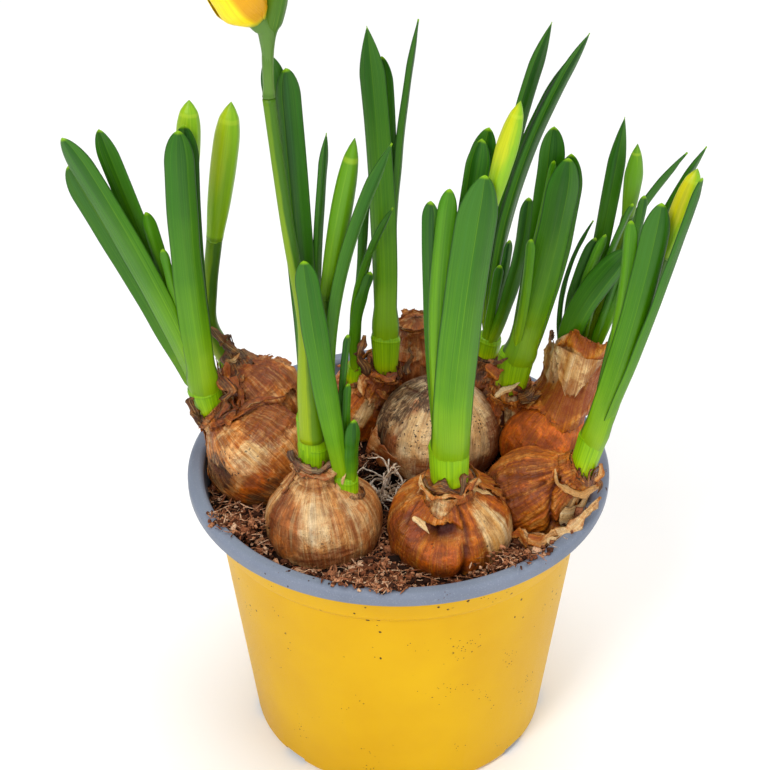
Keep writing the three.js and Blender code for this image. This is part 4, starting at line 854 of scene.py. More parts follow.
def add_sheet(heap, outer, inner, inside, values):
    """A thin sheet, cut where inside isn't above 0."""
    keep = (inside[:-1, :-1] > 0) & (inside[1:, 1:] > 0) & (inside[:-1, 1:] > 0) & (inside[1:, :-1] > 0)
    if keep.any():
        points, faces, used = plate(outer, inner, keep)
        values = {key: np.ravel(np.broadcast_to(value, inside.shape))[used] for key, value in values.items()}
        heap.add(points, faces, **values)


def torn_edge(inside, wide):
    """How near each point of a sheet is to its torn border."""
    return np.exp(-np.maximum(inside, 0) / wide)


# Materials
def srgb(red, green, blue):
    """A colour given as on screen, from 0 to 255, in linear light."""
    shares = [c / 255 for c in (red, green, blue)]
    return tuple(s / 12.92 if s <= 0.04045 else ((s + 0.055) / 1.055) ** 2.4 for s in shares)


def shade(color, factor, most=255):
    return tuple(min(c * factor, most) for c in color)


class Nodes:
    """A material's nodes. Colours are given as on screen, from 0 to 255."""

    def __init__(self, name, roughness, **constants):
        self.material = bpy.data.materials.new(name)
        self.material.use_nodes = True
        self.tree = self.material.node_tree
        self.shader = self.tree.nodes["Principled BSDF"]
        for key, value in {"Roughness": roughness, **constants}.items():
            self.shader.inputs[key.replace("_", " ")].default_value = value

    def new(self, kind, **settings):
        node = self.tree.nodes.new(kind)
        for key, value in settings.items():
            setattr(node, key, value)
        return node

    def put(self, value, socket):
        if isinstance(value, bpy.types.NodeSocket):
            self.tree.links.new(value, socket)
        elif isinstance(value, tuple) and socket.type == "RGBA":
            socket.default_value = (*srgb(*value), 1)
        else:
            socket.default_value = value

    def fill(self, node, *values):
        for socket, value in zip(node.inputs, values):
            self.put(value, socket)
        return node.outputs[0]

    def values(self, *names):
        return [self.new("ShaderNodeAttribute", attribute_name=name).outputs["Fac"] for name in names]

    def math(self, operation, *values, clamp=False):
        return self.fill(self.new("ShaderNodeMath", operation=operation, use_clamp=clamp), *values)

    def times(self, *values, clamp=False):
        return self.math("MULTIPLY", *values, clamp=clamp)

    def span(self, value, low, high, out_low=0.0, out_high=1.0, kind="SMOOTHSTEP"):
        return self.fill(self.new("ShaderNodeMapRange", interpolation_type=kind), value, low, high, out_low, out_high)

    def near(self, value, middle, low, high, out_low, out_high):
        """A span of how far a value is from the middle."""
        return self.span(self.math("ABSOLUTE", self.math("SUBTRACT", value, middle)), low, high, out_low, out_high)

    def swayed(self, noise, reach, value):
        """A value pushed up and down by a noise."""
        return self.math("MULTIPLY_ADD", self.math("SUBTRACT", noise, 0.5), reach, value)

    def vector(self, *parts):
        """A vector of three parts, each a value or a (value, factor)."""
        parts = [self.times(*part) if isinstance(part, tuple) else part for part in parts]
        return self.fill(self.new("ShaderNodeCombineXYZ"), *parts)

    def place(self):
        """The point on the object, in millimetres."""
        scale = self.new("ShaderNodeVectorMath", operation="SCALE")
        self.put(self.new("ShaderNodeTexCoord").outputs["Object"], scale.inputs[0])
        scale.inputs["Scale"].default_value = 1 / MM
        return scale.outputs[0]

    def texture(self, kind, vector, **settings):
        node = self.new("ShaderNodeTex" + kind)
        self.put(vector, node.inputs["Vector"])
        for key, value in settings.items():
            node.inputs[key].default_value = value
        return node.outputs

    def noise(self, vector, scale, detail, roughness=0.55, distortion=0.0):
        settings = {"Scale": scale, "Detail": detail, "Roughness": roughness, "Distortion": distortion}
        return self.texture("Noise", vector, **settings)["Fac"]

    def bent(self, vector, scale, reach):
        """The same place pushed about by noise, so that what is drawn there isn't round."""
        push = self.new("ShaderNodeVectorMath", operation="MULTIPLY_ADD")
        self.fill(push, self.texture("Noise", vector, Scale=scale)["Color"], [reach] * 3, vector)
        return push.outputs[0]

    def dots(self, vector, scale, radius, soft):
        """Small round dots: 1 inside, 0 outside."""
        distance = self.texture("Voronoi", vector, Scale=scale)["Distance"]
        return self.span(distance, radius, radius + soft, 1.0, 0.0)

    def wash(self, color, *layers):
        """Colours laid over one another: (share, colour), where a tuple as share is what span takes."""
        for share, over in layers:
            node = self.new("ShaderNodeMix", data_type="RGBA", blend_type="MIX")
            share = self.span(*share) if isinstance(share, tuple) else share
            for socket, given in ((0, share), (6, color), (7, over)):
                self.put(given, node.inputs[socket])
            color = node.outputs[2]
        return color

    def ramp(self, share, *stops):
        node = self.new("ShaderNodeValToRGB")
        self.put(share, node.inputs["Fac"])
        elements = node.color_ramp.elements
        while len(elements) < len(stops):
            elements.new(1.0)
        for element, (place, color) in zip(elements, stops):
            element.position = place
            element.color = (*srgb(*color), 1)
        return node.outputs["Color"]

    def rough(self, *span):
        self.put(self.span(*span), self.shader.inputs["Roughness"])

    def bump(self, *layers):
        """Layers of (height in mm, strength)."""
        normal = None
        for height, strength in layers:
            node = self.new("ShaderNodeBump")
            node.inputs["Strength"].default_value = strength
            node.inputs["Distance"].default_value = MM
            self.put(height, node.inputs["Height"])
            if normal:
                self.put(normal, node.inputs["Normal"])
            normal = node.outputs["Normal"]
        self.put(normal, self.shader.inputs["Normal"])

    def color(self, value, saturation=None, brightness=1.0):
        """Ends the material with its colour."""
        if saturation:
            node = self.new("ShaderNodeHueSaturation")
            node.inputs["Saturation"].default_value = saturation
            node.inputs["Value"].default_value = brightness
            self.put(value, node.inputs["Color"])
            value = node.outputs["Color"]
        self.put(value, self.shader.inputs["Base Color"])
        return self.material


# Greens: sheaths are fuller than in the plain solids, and the one without leaves is shorter
for spec in SHOOTS.values():
    spec["sheath"] = [width * spec.get("fuller", SHEATH_FULLER) for width in spec["sheath"]]
    if "leaves" not in spec:
        spec["ring"] = (0.4 * vec(spec["ring"])).tolist()


def blade(heap, shoot, leaf, seed, snug):
    """One leaf: a channelled strap with a keeled back, fine ridges and a thickened tip. A snug one fills its sheath."""
    x, y, z, width, bow_x, bow_y, bow_z, turn, seat_x, seat_y, *rest = leaf
    tone, kind, base = (*rest, *LEAF_DEFAULTS[len(rest) :])
    foot = vec(shoot["foot"])
    seat = vec([seat_x, seat_y, 0])
    hold = max(0.36 * shoot["sheath"][1] - 0.2 * width, 0.2) / max(np.linalg.norm(seat), 0.01)
    seat *= 0.1 if snug else min(0.9, hold)
    start = vec(shoot.get("inner_ring", shoot["ring"])) * LEAF_START + foot + seat
    end = foot + vec([x, y, z])
    line = bezier(start, (start + end) / 2 + 2 * vec([bow_x, bow_y, bow_z]), end)
    length = along(line, [0])[2]
    tip = 1 - TIP_LENGTH[kind] * width / length
    body_rows, tip_rows = BLADE_ROWS
    rounding = mix(tip, 1, np.sin(np.linspace(0, 1.5708, tip_rows)))
    shares = np.concatenate([np.linspace(0, tip, body_rows, endpoint=False), rounding])
    centre, tangent, _ = along(line, shares)
    body = np.clip(shares / tip, 0, 1)
    part = mix(0.9 if snug else base, 1, smooth(-0.35, 0.75, body)) * (1 - 0.04 * body**2)
    girth = mix(*(0.95 * snug * vec(shoot["sheath"])), smooth(-0.04, 0.1, shares))
    girth = girth * mix(0.78, 1, smooth(0.004, 0.04, shares))
    wrap = smooth(0.34, 0.06, shares)
    if not snug:
        part *= mix(0.5, 1, smooth(0, 0.08, shares))
    part = np.maximum(part, girth / width * wrap)
    past = np.clip((shares - tip) / (1 - tip), 0, 1)
    part *= (1 - past**1.9) ** 0.62 if kind == "blunt" else 1 - past**1.5
    part = np.maximum(part, 0.25 / width)[:, None]
    turn = math.radians(turn)
    out, side = square_to(tangent, vec([math.sin(turn), -math.cos(turn), 0]))
    twist = np.radians(7 * math.sin(2.4 * seed)) * shares[:, None] ** 2
    out, side = out * np.cos(twist) + side * np.sin(twist), side * np.cos(twist) - out * np.sin(twist)
    angle = circle(BLADE_SIDES)
    s = np.cos(angle)[None]
    s = np.sign(s) * np.abs(s) ** 0.8
    back = np.where(np.sin(angle) >= -1e-9, 1.0, -1.0)[None]
    slim = mix(MIDRIB, 1, shares)[:, None] * np.minimum(1, np.minimum(part * 1.6, width / 4))
    thick = np.maximum(slim * smooth(-0.5, 7, (1 - shares) * length)[:, None], 0.5)
    edge = np.minimum(EDGE, thick) * np.minimum(1, part * 3)
    ridge = 0.3 * math.sin(seed * 2.3)
    facet = np.minimum(1, np.minimum((1 - s) / (1 - RIDGE - ridge), (1 + s) / (1 - RIDGE + ridge)))
    height = edge / 2 * (1 - np.abs(s) ** 6) ** 0.5 + (thick - edge) / 2 * facet
    # The snug leaf is as thick as its sheath there
    oval = (girth * SHEATH_OVAL / 2 * smooth(0.26, 0.07, shares))[:, None] * np.sqrt(np.maximum(1 - s**2, 0))
    height = np.maximum(height, oval)
    keel = 0.1 * min(1, width / 9) * bell(np.abs(s - ridge) - RIDGE, 0.09) * (back > 0) * part
    wave = 0.2 * noise(grid3(shares[:, None] * 9, s * 1.5, seed * 3.1)) * smooth(0, 0.3, shares)[:, None]
    bend = np.where(s > ridge, (s - ridge) / (1 - ridge), (s - ridge) / (-1 - ridge))
    hollow = CHANNEL * width * part * (0.5 - bend**1.15) * 1.25
    lift = hollow * (1 - wrap[:, None] * snug) + back * height + keel + wave
    edge_wave = 0.22 * noise(grid3(shares * 7, seed * 1.7))[:, None] * np.sign(s) * np.abs(s)
    across = s * (width / 2 * part) + edge_wave * part
    shape = across.shape
    heap.add(
        *loft(centre[:, None] + side[:, None] * across[..., None] + out[:, None] * lift[..., None]),
        along=ends(shares[:, None], shape, 0, 1),
        across=ends(s, shape),
        tip=ends((1 - shares[:, None]) * length, shape, length, 0),
        back=ends(back, shape, 1, 1),
        tone=tone,
        seed=seed,
        far=100,
    )


def sheath(heap, shoot, ring, widths, seed):
    """The pale sheath: faintly ribbed, with a thin lip at its ring."""
    up = vec(ring)
    length = np.linalg.norm(up)
    up /= length
    low, high = widths[0] / 2, widths[1] / 2
    past = length + vec([0.12, 0.24, 0.7, SHEATH_END, SHEATH_END + 0.5])
    run = np.concatenate([np.linspace(-SOCKET_DEPTH, length, 22), past])
    stations = [-SOCKET_DEPTH, 0, length, *past[[0, 1, 3, 4]]]
    radii = [low * 0.92, low, high - 0.1, high - 0.1, high - SHEATH_STEP, high - 2 * SHEATH_STEP, high * 0.4]
    angle = circle(SHEATH_SIDES)
    dip = 0.5 * np.cos(angle + seed) + 0.25 * np.cos(2 * angle + seed)
    ribs = 0.05 * np.cos(16 * angle) + 0.1 * noise(grid3(np.cos(angle) * 3, np.sin(angle) * 3, seed))
    radius = np.interp(run, stations, radii)[:, None] + ribs[None]
    out, side = square_to(up, FRONT)
    lifted = run[:, None] + dip[None] * smooth(0, 1, run / length)[:, None]
    shape = radius.shape
    heap.add(
        *loft(ovals(vec(shoot["foot"]) + up * lifted[..., None], side, out, radius, radius * SHEATH_OVAL, angle)),
        sheath=1,
        far=ends(run[:, None] - length, shape, -length - 4, SHEATH_END),
        along=ends(run[:, None] / length, shape, 0, 1),
        cx=ends(np.cos(angle), shape),
        cy=ends(np.sin(angle), shape),
        tip=50,
        seed=seed,
        tone=0.5,
    )


def stem(heap, shoot, path, radii, seed):
    """A flower stem, which is full enough at its foot to leave no gap in its sheath."""
    aside, wide = math.hypot(*path[0][:2]), shoot["sheath"][1]
    wanted = 0.56 * wide if "leaves" not in shoot else 0.4 * wide if aside < 1.3 else 0.42 * wide - aside
    shares = np.linspace(0, 1, STEM_ROWS)
    angle = circle(STEM_SIDES)
    fuller = np.maximum(0, wanted - radii[0]) * smooth(0.4, 0.12, shares)[:, None]
    radius = mix(radii[0], radii[1] + 0.25, shares)[:, None] + fuller + 0.07 * np.cos(4 * angle + seed)
    line = centripetal([vec(shoot["foot"]) + vec(point) for point in path])
    points, faces, values = tube(line, shares, angle, radius, STEM_OVAL)
    values = {"along": values["along"], "across": values["cx"]}
    heap.add(points, faces, stem=1, tip=50, far=100, seed=seed, tone=0.5, **values)


def bud_piece(name, shoot, material):
    """A closed bud in its spathe, with faint ribs, a seam and a nib at its tip."""
    which, tip, radius, wider, blush, sharp = shoot["bud"]
    path, (_, slim) = shoot["stems"][which]
    full = radius * wider
    foot = vec(shoot["foot"])
    line = centripetal([foot + vec(point) for point in path])
    top, way = line[-1], unit(line[-1] - line[-3])
    start, end = top - way * 0.4, foot + vec(tip)
    curve = bezier(start, (start + end) / 2 + way * 1.5, end)
    places = [0, 0.02, 0.05, 0.3, 0.55, 0.7, 0.85, 0.93, 0.965, 1]
    swell = mix(vec([0.97, 0.96, 0.8, 0.5, 0.29]), vec([0.98, 0.84, 0.56, 0.3, 0.17]), sharp)
    radii = [slim + 0.2, slim + 0.35, slim + 0.4, mix(slim, full, 0.72), *(full * swell), 0.1]
    table = centripetal([[p, r, 0] for p, r in zip(places, radii)], 300)
    shares = np.concatenate([np.linspace(0, 0.06, 8), np.linspace(0.08, 0.9, 50), np.linspace(0.91, 1, 16)])
    angle = circle(BUD_SIDES)
    seed = full * 7.3 + len(name)
    ribs = 1 + 0.014 * np.cos(9 * angle + seed) + 0.03 * noise(grid3(np.cos(angle) * 1.5, np.sin(angle) * 1.5, seed))
    seam = 0.16 * bell(np.sin((angle - 4.4 + 0.3 * np.sin(seed)) / 2), 0.05)
    radius = np.interp(shares, table[:, 0], table[:, 1])[:, None] * ribs
    radius = radius + seam * smooth(0.1, 0.5, shares)[:, None] * smooth(1, 0.85, shares)[:, None]
    points, faces, values = tube(curve, shares, angle, radius, STEM_OVAL)
    heap = Heap()
    heap.add(points, faces, blush=blush, seed=seed, **values)
    heap.piece("bud_case_" + name, material, "bud", "bud_" + name)


def shoot_piece(name, shoot, material):
    heap = Heap()
    seed = sum(map(ord, name)) % 37
    sheath(heap, shoot, shoot["ring"], shoot["sheath"], seed)
    if "inner_ring" in shoot:
        sheath(heap, shoot, shoot["inner_ring"], [w - 2 * SHEATH_STEP for w in shoot["sheath"]], seed + 1)
    leaves = shoot.get("leaves", [])
    widest = max(leaves, key=lambda leaf: leaf[3]) if "fuller" in shoot else None
    for k, leaf in enumerate(leaves):
        blade(heap, shoot, leaf, seed + 1.37 * k, leaf is widest)
    for k, (path, radii) in enumerate(shoot.get("stems", [])):
        stem(heap, shoot, path, radii, seed + k)
    heap.piece("greens_" + name, material, "leaf", "shoot_" + name)


# Bulbs
class Nose:
    """One nose of a bulb, with its skin in millimetres."""

    def __init__(self, centre, radius, neck, neck_radius):
        self.centre, self.radius, self.neck = vec(centre), radius, vec(neck)
        self.axis = self.neck - self.centre
        h, r, n = np.linalg.norm(self.axis), radius, neck_radius
        self.axis /= h
        self.right, self.back = square_to(self.axis, RIGHT)
        low = [[0.36 * r, 0, -0.92 * r], [0.72 * r, 0, -0.7 * r], [0.96 * r, 0, -0.32 * r], [r, 0, 0.02 * r]]
        high = [[0.9 * r, 0, 0.36 * h], [0.68 * r, 0, 0.6 * h], [0.34 * r + 0.36 * n, 0, 0.8 * h]]
        self.table = centripetal([*low, *high, [n, 0, h - 0.5], [1.1 * n, 0, h + 1.2]])
        self.shares = np.linspace(0, 1, len(self.table))

    def skin(self, share, degrees, out=0.0, up=0.0):
        """Points at shares up the nose and angles round it (270 to the front)."""
        share, angle = np.broadcast_arrays(share, np.radians(degrees))
        wide = np.interp(share, self.shares, self.table[:, 0])
        high = np.interp(share, self.shares, self.table[:, 2]) + up
        ridges = 1 + 0.02 * np.cos(3 * angle + self.radius) + 0.014 * np.cos(7 * angle + 2 * self.radius)
        way = self.right * np.cos(angle)[..., None] + self.back * np.sin(angle)[..., None]
        return self.centre + self.axis * high[..., None] + (wide * ridges + out)[..., None] * way


NOSES = {name: [Nose(*row) for row in rows] for name, rows in BULBS.items()}
ALL_NOSES = [nose for noses in NOSES.values() for nose in noses]
# The way that the loose strips face
STRIP_FACES = unit(vec([0, -0.8, 0.6]))


def round_points(share, degrees, around, up, seed):
    """Points for the noise that meet themselves round a bulb: how fine round it and up it."""
    angle = np.radians(degrees)
    return grid3(np.cos(angle) * around, np.sin(angle) * around, share * up + seed * 5.3)


def round_noise(share, degrees, around, up, seed, octaves=2):
    return layered(round_points(share, degrees, around, up, seed), 1, int(seed), octaves)


def patch_mask(patches, kind, share, degrees):
    """How much of a named tint each point has."""
    total = np.zeros(np.broadcast(share, degrees).shape)
    for name, angle, at, wide, high, *amount in patches:
        if name == kind:
            off = (np.asarray(degrees) - angle + 180) % 360 - 180
            mask = np.exp(-((off / wide) ** 4) - np.abs((share - at) / high) ** 3)
            total = np.maximum(total, mask * (amount[0] if amount else 1))
    return total


def bulb_values(patches, share, degrees, seed, **more):
    shape = np.broadcast(share, degrees).shape
    angle = np.broadcast_to(np.radians(degrees), shape)
    values = {tint: patch_mask(patches, tint, share, degrees) for tint in TINTS}
    more.update(share=share, seed=float(seed))
    values.update({key: np.broadcast_to(value, shape) for key, value in more.items()})
    return {**values, "cx": np.cos(angle), "cy": np.sin(angle)}


def path_distance(share, degrees, path, radius):
    """How far each point of a skin is from a path of (angle, share), in millimetres."""
    nearest = np.inf
    for (a0, s0), (a1, s1) in zip(path, path[1:]):
        x = np.radians((degrees - a0 + 180) % 360 - 180) * radius
        y = (share - s0) * SKIN_RUN
        dx, dy = math.radians(a1 - a0) * radius, (s1 - s0) * SKIN_RUN
        t = np.clip((x * dx + y * dy) / max(dx * dx + dy * dy, 1e-6), 0, 1)
        nearest = np.minimum(nearest, np.hypot(x - t * dx, y - t * dy))
    return nearest


def soil_dust_and_shade(points, own):
    """How dark each point of a nose gets from soil dust and painted shade near the soil, and from painted shade in the
    gaps between bulbs, from 0 to 1.
    """
    above = points[..., 2] - soil_height(points[..., 0], points[..., 1])
    dust_shade = smooth(5.5, 0.6, above + 1.6 * layered(points, 0.35, 3, 3))
    for nose in ALL_NOSES:
        if nose is not own:
            gap = np.linalg.norm(points - nose.centre, axis=-1) - nose.radius
            dust_shade = np.maximum(dust_shade, 0.9 * smooth(5, 0.4, gap))
    return dust_shade


def bulb_relief(share, degrees, nose, looks, seed):
    """Outward relief in millimetres, folds from -1 to 1 for the material, and the painted shade in its creases."""
    long, crumple, cross = looks["relief"]
    pleats = looks.get("pleats", 0.1)
    size = nose.radius
    bent = degrees + 7 * round_noise(share, degrees, 1.6, 4, seed + 6)
    lifted = share + 0.03 * round_noise(share, degrees, 2.4, 3, seed + 8)

    def folds(around, up, extra, octaves=3):
        return ridged(round_points(lifted, bent, around, up, seed), seed + extra, octaves)

    creased = folds(size / 5, 10, 2)
    ruck = patch_mask(looks["patches"], "red", share, degrees) * looks.get("ruck", 0.6)
    cross = cross * np.maximum(smooth(0.66, 0.82, share), ruck)
    fold = long * folds(size / 3.4, 3.2, 1) + crumple * creased + cross * folds(1.6, 34, 3)
    fold = fold + pleats * folds(size / 1.9, 3.4, 5, 1)
    out = 0.5 * round_noise(share, degrees, 1.3, 2.5, seed) + 0.06 * round_noise(share, bent, size * 1.1, 14, seed + 4)
    out = out + fold
    weight = long + crumple + cross + pleats
    fold = fold / weight * np.minimum(1, 0.45 + weight)
    crack = np.zeros(np.broadcast(share, degrees).shape)
    # Creases sink into the skin with a lip beside them, and painted shade lies in them
    for path, wide, deep, lip, shadow_strength in looks.get("creases", []):
        gap = path_distance(share, degrees + 0.6 * (bent - degrees), path, 0.92 * size) * (1 + 0.25 * creased)
        out = out - deep * bell(gap, wide) + lip * bell(gap - 1.9 * wide, wide)
        crack = np.maximum(crack, shadow_strength * bell(gap, 0.72 * wide))
    for angle, at, wide, high, rise in looks.get("lobes", []):
        off = (degrees - angle + 180) % 360 - 180
        out = out + rise * bell(off, wide) * bell(share - at, high)
    return out, np.clip(fold, -1, 1), crack


def bulb_body(heap, nose, looks, seed):
    detail = looks.get("detail", 1)
    low = np.linspace(0.02, 0.26, 8, endpoint=False)
    share = np.concatenate([low, np.linspace(0.26, NECK_SHARE, int(BULB_ROWS * detail))])[:, None]
    degrees = np.linspace(0, 360, int(BULB_SIDES * detail), endpoint=False)[None]
    relief, fold, crack = bulb_relief(share, degrees, nose, looks, seed)
    points = nose.skin(share, degrees, relief)
    # The top closes in under the collars
    top, middle = points[-1], points[-1].mean(0)
    points = np.concatenate([points, [mix(top, middle, 0.25), mix(top, middle, 0.55) - 0.6]])
    values = bulb_values(looks["patches"], share, degrees, seed, fold=fold, crack=crack)
    values = {key: np.concatenate([value, value[-1:], value[-1:]]) for key, value in values.items()}
    # The closing points under the collars get the darkest painted shade
    values["crack"][-2:] = [[0.8], [1]]
    # Soil dust and painted shade, near the soil and in the gaps between bulbs
    values["dirt"] = soil_dust_and_shade(points, nose)
    values = {key: ends(value, value.shape, value[0].mean(), value[-1].mean()) for key, value in values.items()}
    heap.add(*loft(points), **values)


def tunic(heap, nose, looks, seed, around, rise, lift, curl, paper=0.6, rag=0.16, fine=1.0, point=0.0, cream=0.0):
    """A torn sheet of dry tunic over a bulb: it lies on the skin, and its free borders are ragged and curl up."""
    wide = math.radians(around[1] - around[0]) * nose.radius
    high = (rise[1] - rise[0]) * SKIN_RUN
    v, u = sheet_grid(max(12, int(high * 1.7 * fine)), max(12, int(wide * 1.7 * fine)))
    degrees, share = mix(*around, u), mix(*rise, v)
    narrow = 0.5 * point * (1 - v)
    near = np.minimum(np.minimum(u - narrow, 1 - u - narrow) * wide, v * high)
    tear = layered(grid3(u * wide / 5, v * high / 5, seed), 1, int(seed), 4)
    tear = tear + 0.35 * ridged(grid3(u * wide / 2.2, v * high / 2.2, seed), seed + 3, 2)
    inside = near - rag * min(wide, high) * (0.9 + 1.3 * tear)
    edge = torn_edge(inside, 1.6)
    relief, fold, _ = bulb_relief(share, degrees, nose, {**looks, "creases": []}, seed + 2)
    wrinkle = ridged(grid3(u * wide / 4, v * high / 6, seed + 2.5), seed + 5)
    loose = smooth(0, 0.5, near / near.max())
    curled = np.clip(0.4 + 1.4 * layered(grid3(u * wide / 9, v * high / 9, seed + 4), 1, int(seed) + 8, 2), 0, 1.3)
    out = 0.3 + 0.6 * relief + lift * (0.25 + 0.4 * loose) + 0.5 * (wrinkle + 0.35) + curl * edge**1.3 * curled
    outer = nose.skin(share, degrees, out + SHEET)
    values = bulb_values(looks["patches"], share, degrees, seed + 3, paper=paper, edge=edge**2.5)
    values["fold"] = np.clip(0.5 * fold + 0.8 * wrinkle, -1, 1)
    values["cream"] = np.maximum(values["cream"], cream)
    # Soil dust and painted shade near the soil and between bulbs, weaker on the loose sheet
    values["dirt"] = 0.6 * soil_dust_and_shade(outer, nose)
    add_sheet(heap, outer, nose.skin(share, degrees, out), inside, values)


def collar(
    heap, nose, shoot, seed, low, height, flare=0.0, dark=0.5, around=(0, 360), rag=0.5, crumple=0.5, cream=0.0
):
    """The dry, torn collar from a bulb's shoulder up its shoot, which it hugs."""
    span = around[1] - around[0]
    v, u = sheet_grid(COLLAR_ROWS, max(16, int(span / 3.6)))
    degrees = mix(*around, u)
    turn = np.radians(degrees)
    rough = layered(spun(turn, 2.6, v * 2.4 + seed), 1, int(seed), 3)
    wrinkle = ridged(spun(turn, 5, v * 1.6 + seed), seed + 9, 2)
    past = smooth(0.35, 1, v)
    out = 0.35 + crumple * (0.5 * rough + 0.5 * wrinkle + 0.2) * (0.5 + past)
    share = mix(low, NECK_SHARE, np.minimum(v / 0.5, 1))
    up = vec(shoot["ring"])
    length = np.linalg.norm(up)
    up = up / length
    front, side = square_to(up, FRONT)
    run = mix(-2.5, height, np.clip((v - 0.3) / 0.7, 0, 1))
    thin, thick = shoot["sheath"]
    width = np.interp(run, [-4, 0, length], [0.46 * thin, thin / 2, thick / 2])
    lean = 0.25 + flare * past**1.6 * (1 + 0.5 * rough) + 0.7 * crumple * (0.5 * rough + 0.5 * wrinkle + 0.3) * past
    middle = vec(shoot["foot"]) + up * run[..., None]

    def at(extra):
        on_bulb = nose.skin(share, degrees, out + extra)
        on_shoot = ovals(middle, side, -front, width + lean + extra, width * SHEATH_OVAL + lean + extra, turn)
        return mix(on_bulb, on_shoot, smooth(0.32, 0.62, v)[..., None])

    points = ridged(spun(turn, 6, seed + 7), seed + 4, 3)
    edge_at = 1 - rag * (0.55 - 0.75 * points + 0.5 * layered(spun(turn, 1.7, seed + 2), 1, int(seed) + 3, 2))
    inside = (edge_at - v) * (height + 6)
    if span < 355:
        inside = np.minimum(inside, np.minimum(u, 1 - u) * span / 9 - 0.8 - 0.8 * rough)
    values = bulb_values([], share, degrees, seed, paper=0.7, edge=torn_edge(inside, 0.9), fold=wrinkle)
    values["dark"] = np.clip(dark * (0.7 + 0.6 * past) + 0.5 * rough, 0, 1)
    values["cream"] = np.clip(cream + cream * 1.5 * rough, 0, 1)
    add_sheet(heap, at(SHEET), at(0), inside, values)


def lips(heap, shoot, seed, height, flare, dark, rag):
    """Torn lips round a shoot that breaks through a bulb's shoulder."""
    v, u = sheet_grid(12, 60)
    turn = 2 * np.pi * u
    up = unit(vec(shoot["ring"]))
    front, side = square_to(up, FRONT)
    rough = layered(spun(turn, 2.6, seed), 1, int(seed), 3)
    wide = shoot["sheath"][0] / 2 + mix(flare, 0.6, v) + 0.7 * rough
    middle = vec(shoot["foot"]) + up * mix(-1.6, height, v)[..., None]
    outer, inner = (ovals(middle, side, -front, reach, reach * 0.85, turn) for reach in (wide + SHEET, wide))
    inside = (1 - rag * (0.5 - 0.8 * ridged(spun(turn, 4, seed), seed, 2)) - v) * 4
    values = bulb_values([], np.full(u.shape, 0.9), np.degrees(turn), seed, paper=0.8, fold=rough)
    values["edge"] = torn_edge(inside, 0.8)
    values["dark"] = np.clip(dark + 0.6 * rough, 0, 1)
    add_sheet(heap, outer, inner, inside, values)


def sleeve(heap, nose, seed, height, flare, low, crumple, rag):
    """The dry papery neck of a bulb whose shoot doesn't show."""
    v, u = sheet_grid(30, 64)
    degrees = 360 * u
    turn = np.radians(degrees)
    share = mix(low, 0.995, np.minimum(v / 0.4, 1))
    past = np.maximum(v - 0.4, 0) / 0.6
    rough = layered(spun(turn, 2.6, v * 2.4 + seed), 1, int(seed), 3)
    wrinkle = ridged(spun(turn, 3.4, v * 2.2 + seed), seed + 9, 3)
    out = 0.3 + flare * past**1.5 + crumple * (0.6 * rough + wrinkle) * (0.35 + past)
    rise = vec([0, 0, 1]) * (past * height)[..., None]
    edge_at = 1 - rag * (0.5 + 0.9 * layered(spun(turn, 3.5, seed + 7), 1, int(seed) + 3, 3))
    inside = (edge_at - v) * (height + 6)
    values = bulb_values([], share, degrees, seed, paper=1.0, edge=torn_edge(inside, 0.9), fold=wrinkle)
    values["dark"] = np.clip(0.5 * rough, 0, 1)
    values["cream"] = np.clip(0.35 + 0.8 * rough, 0, 1)
    outer, inner = (nose.skin(share, degrees, reach) + rise for reach in (out + SHEET, out))
    add_sheet(heap, outer, inner, inside, values)


def strip(heap, path, width, seed, near, crumple=0.4, taper=0.85, **values):
    """A dry strip or wisp along a path: flat, tapering and crumpled, with streaks and darker borders."""
    shares = np.linspace(0, 1, STRIP_RINGS)
    centre, tangent, length = along(centripetal(path), shares)
    centre = centre + crumple * np.stack(
        [noise(grid3(shares * length / 3, seed + 9 * k, k)) for k in range(3)], axis=-1
    )
    out, side = square_to(tangent, near)
    turn = (0.5 * crumple * noise(grid3(shares * 5, seed)))[:, None]
    out, side = out * np.cos(turn) + side * np.sin(turn), side * np.cos(turn) - out * np.sin(turn)
    angle = circle(STRIP_SIDES)
    size = width / 2 * (1 - taper * shares**2) * np.minimum(1, 0.5 + shares * 5)
    size = size * (1 + 0.5 * crumple * noise(grid3(shares * length / 1.6, seed + 3)))
    torn = noise(grid3(shares[:, None] * length / 0.8, np.sign(np.cos(angle)) * 3.7, seed))
    size = size[:, None] * (1 + 0.4 * min(crumple, 1) * torn)
    lift = STRIP_THICK / 2 * np.sin(angle)[None] - 0.12 * size * np.cos(angle)[None] ** 2
    rings = centre[:, None] + side[:, None] * (size * np.cos(angle))[..., None] + out[:, None] * lift[..., None]
    spread = ends(shares[:, None], size.shape, 0, 1)
    border = ends(np.abs(np.cos(angle)) ** 6, size.shape, 0.5, 1)
    given = {"paper": 1, "seed": seed, "cy": 0.5, **values}
    given["cx"] = ends(size * np.cos(angle)[None] / 14, size.shape) + 0.3 * math.sin(seed)
    given["share"] = 0.9 + spread * length / SKIN_RUN
    heap.add(*loft(rings), edge=np.maximum(0.3 * spread, 0.55 * border), **given)


def strip_on(heap, nose, path, width, seed, face=False, **values):
    """A torn strip on a bulb, which faces out from it or to the front."""
    places = [nose.skin(share, angle, *off) for angle, share, *off in path]
    near = FRONT if face else unit(np.mean(places, axis=0) - nose.centre)
    strip(heap, places, width, seed, near, **values)


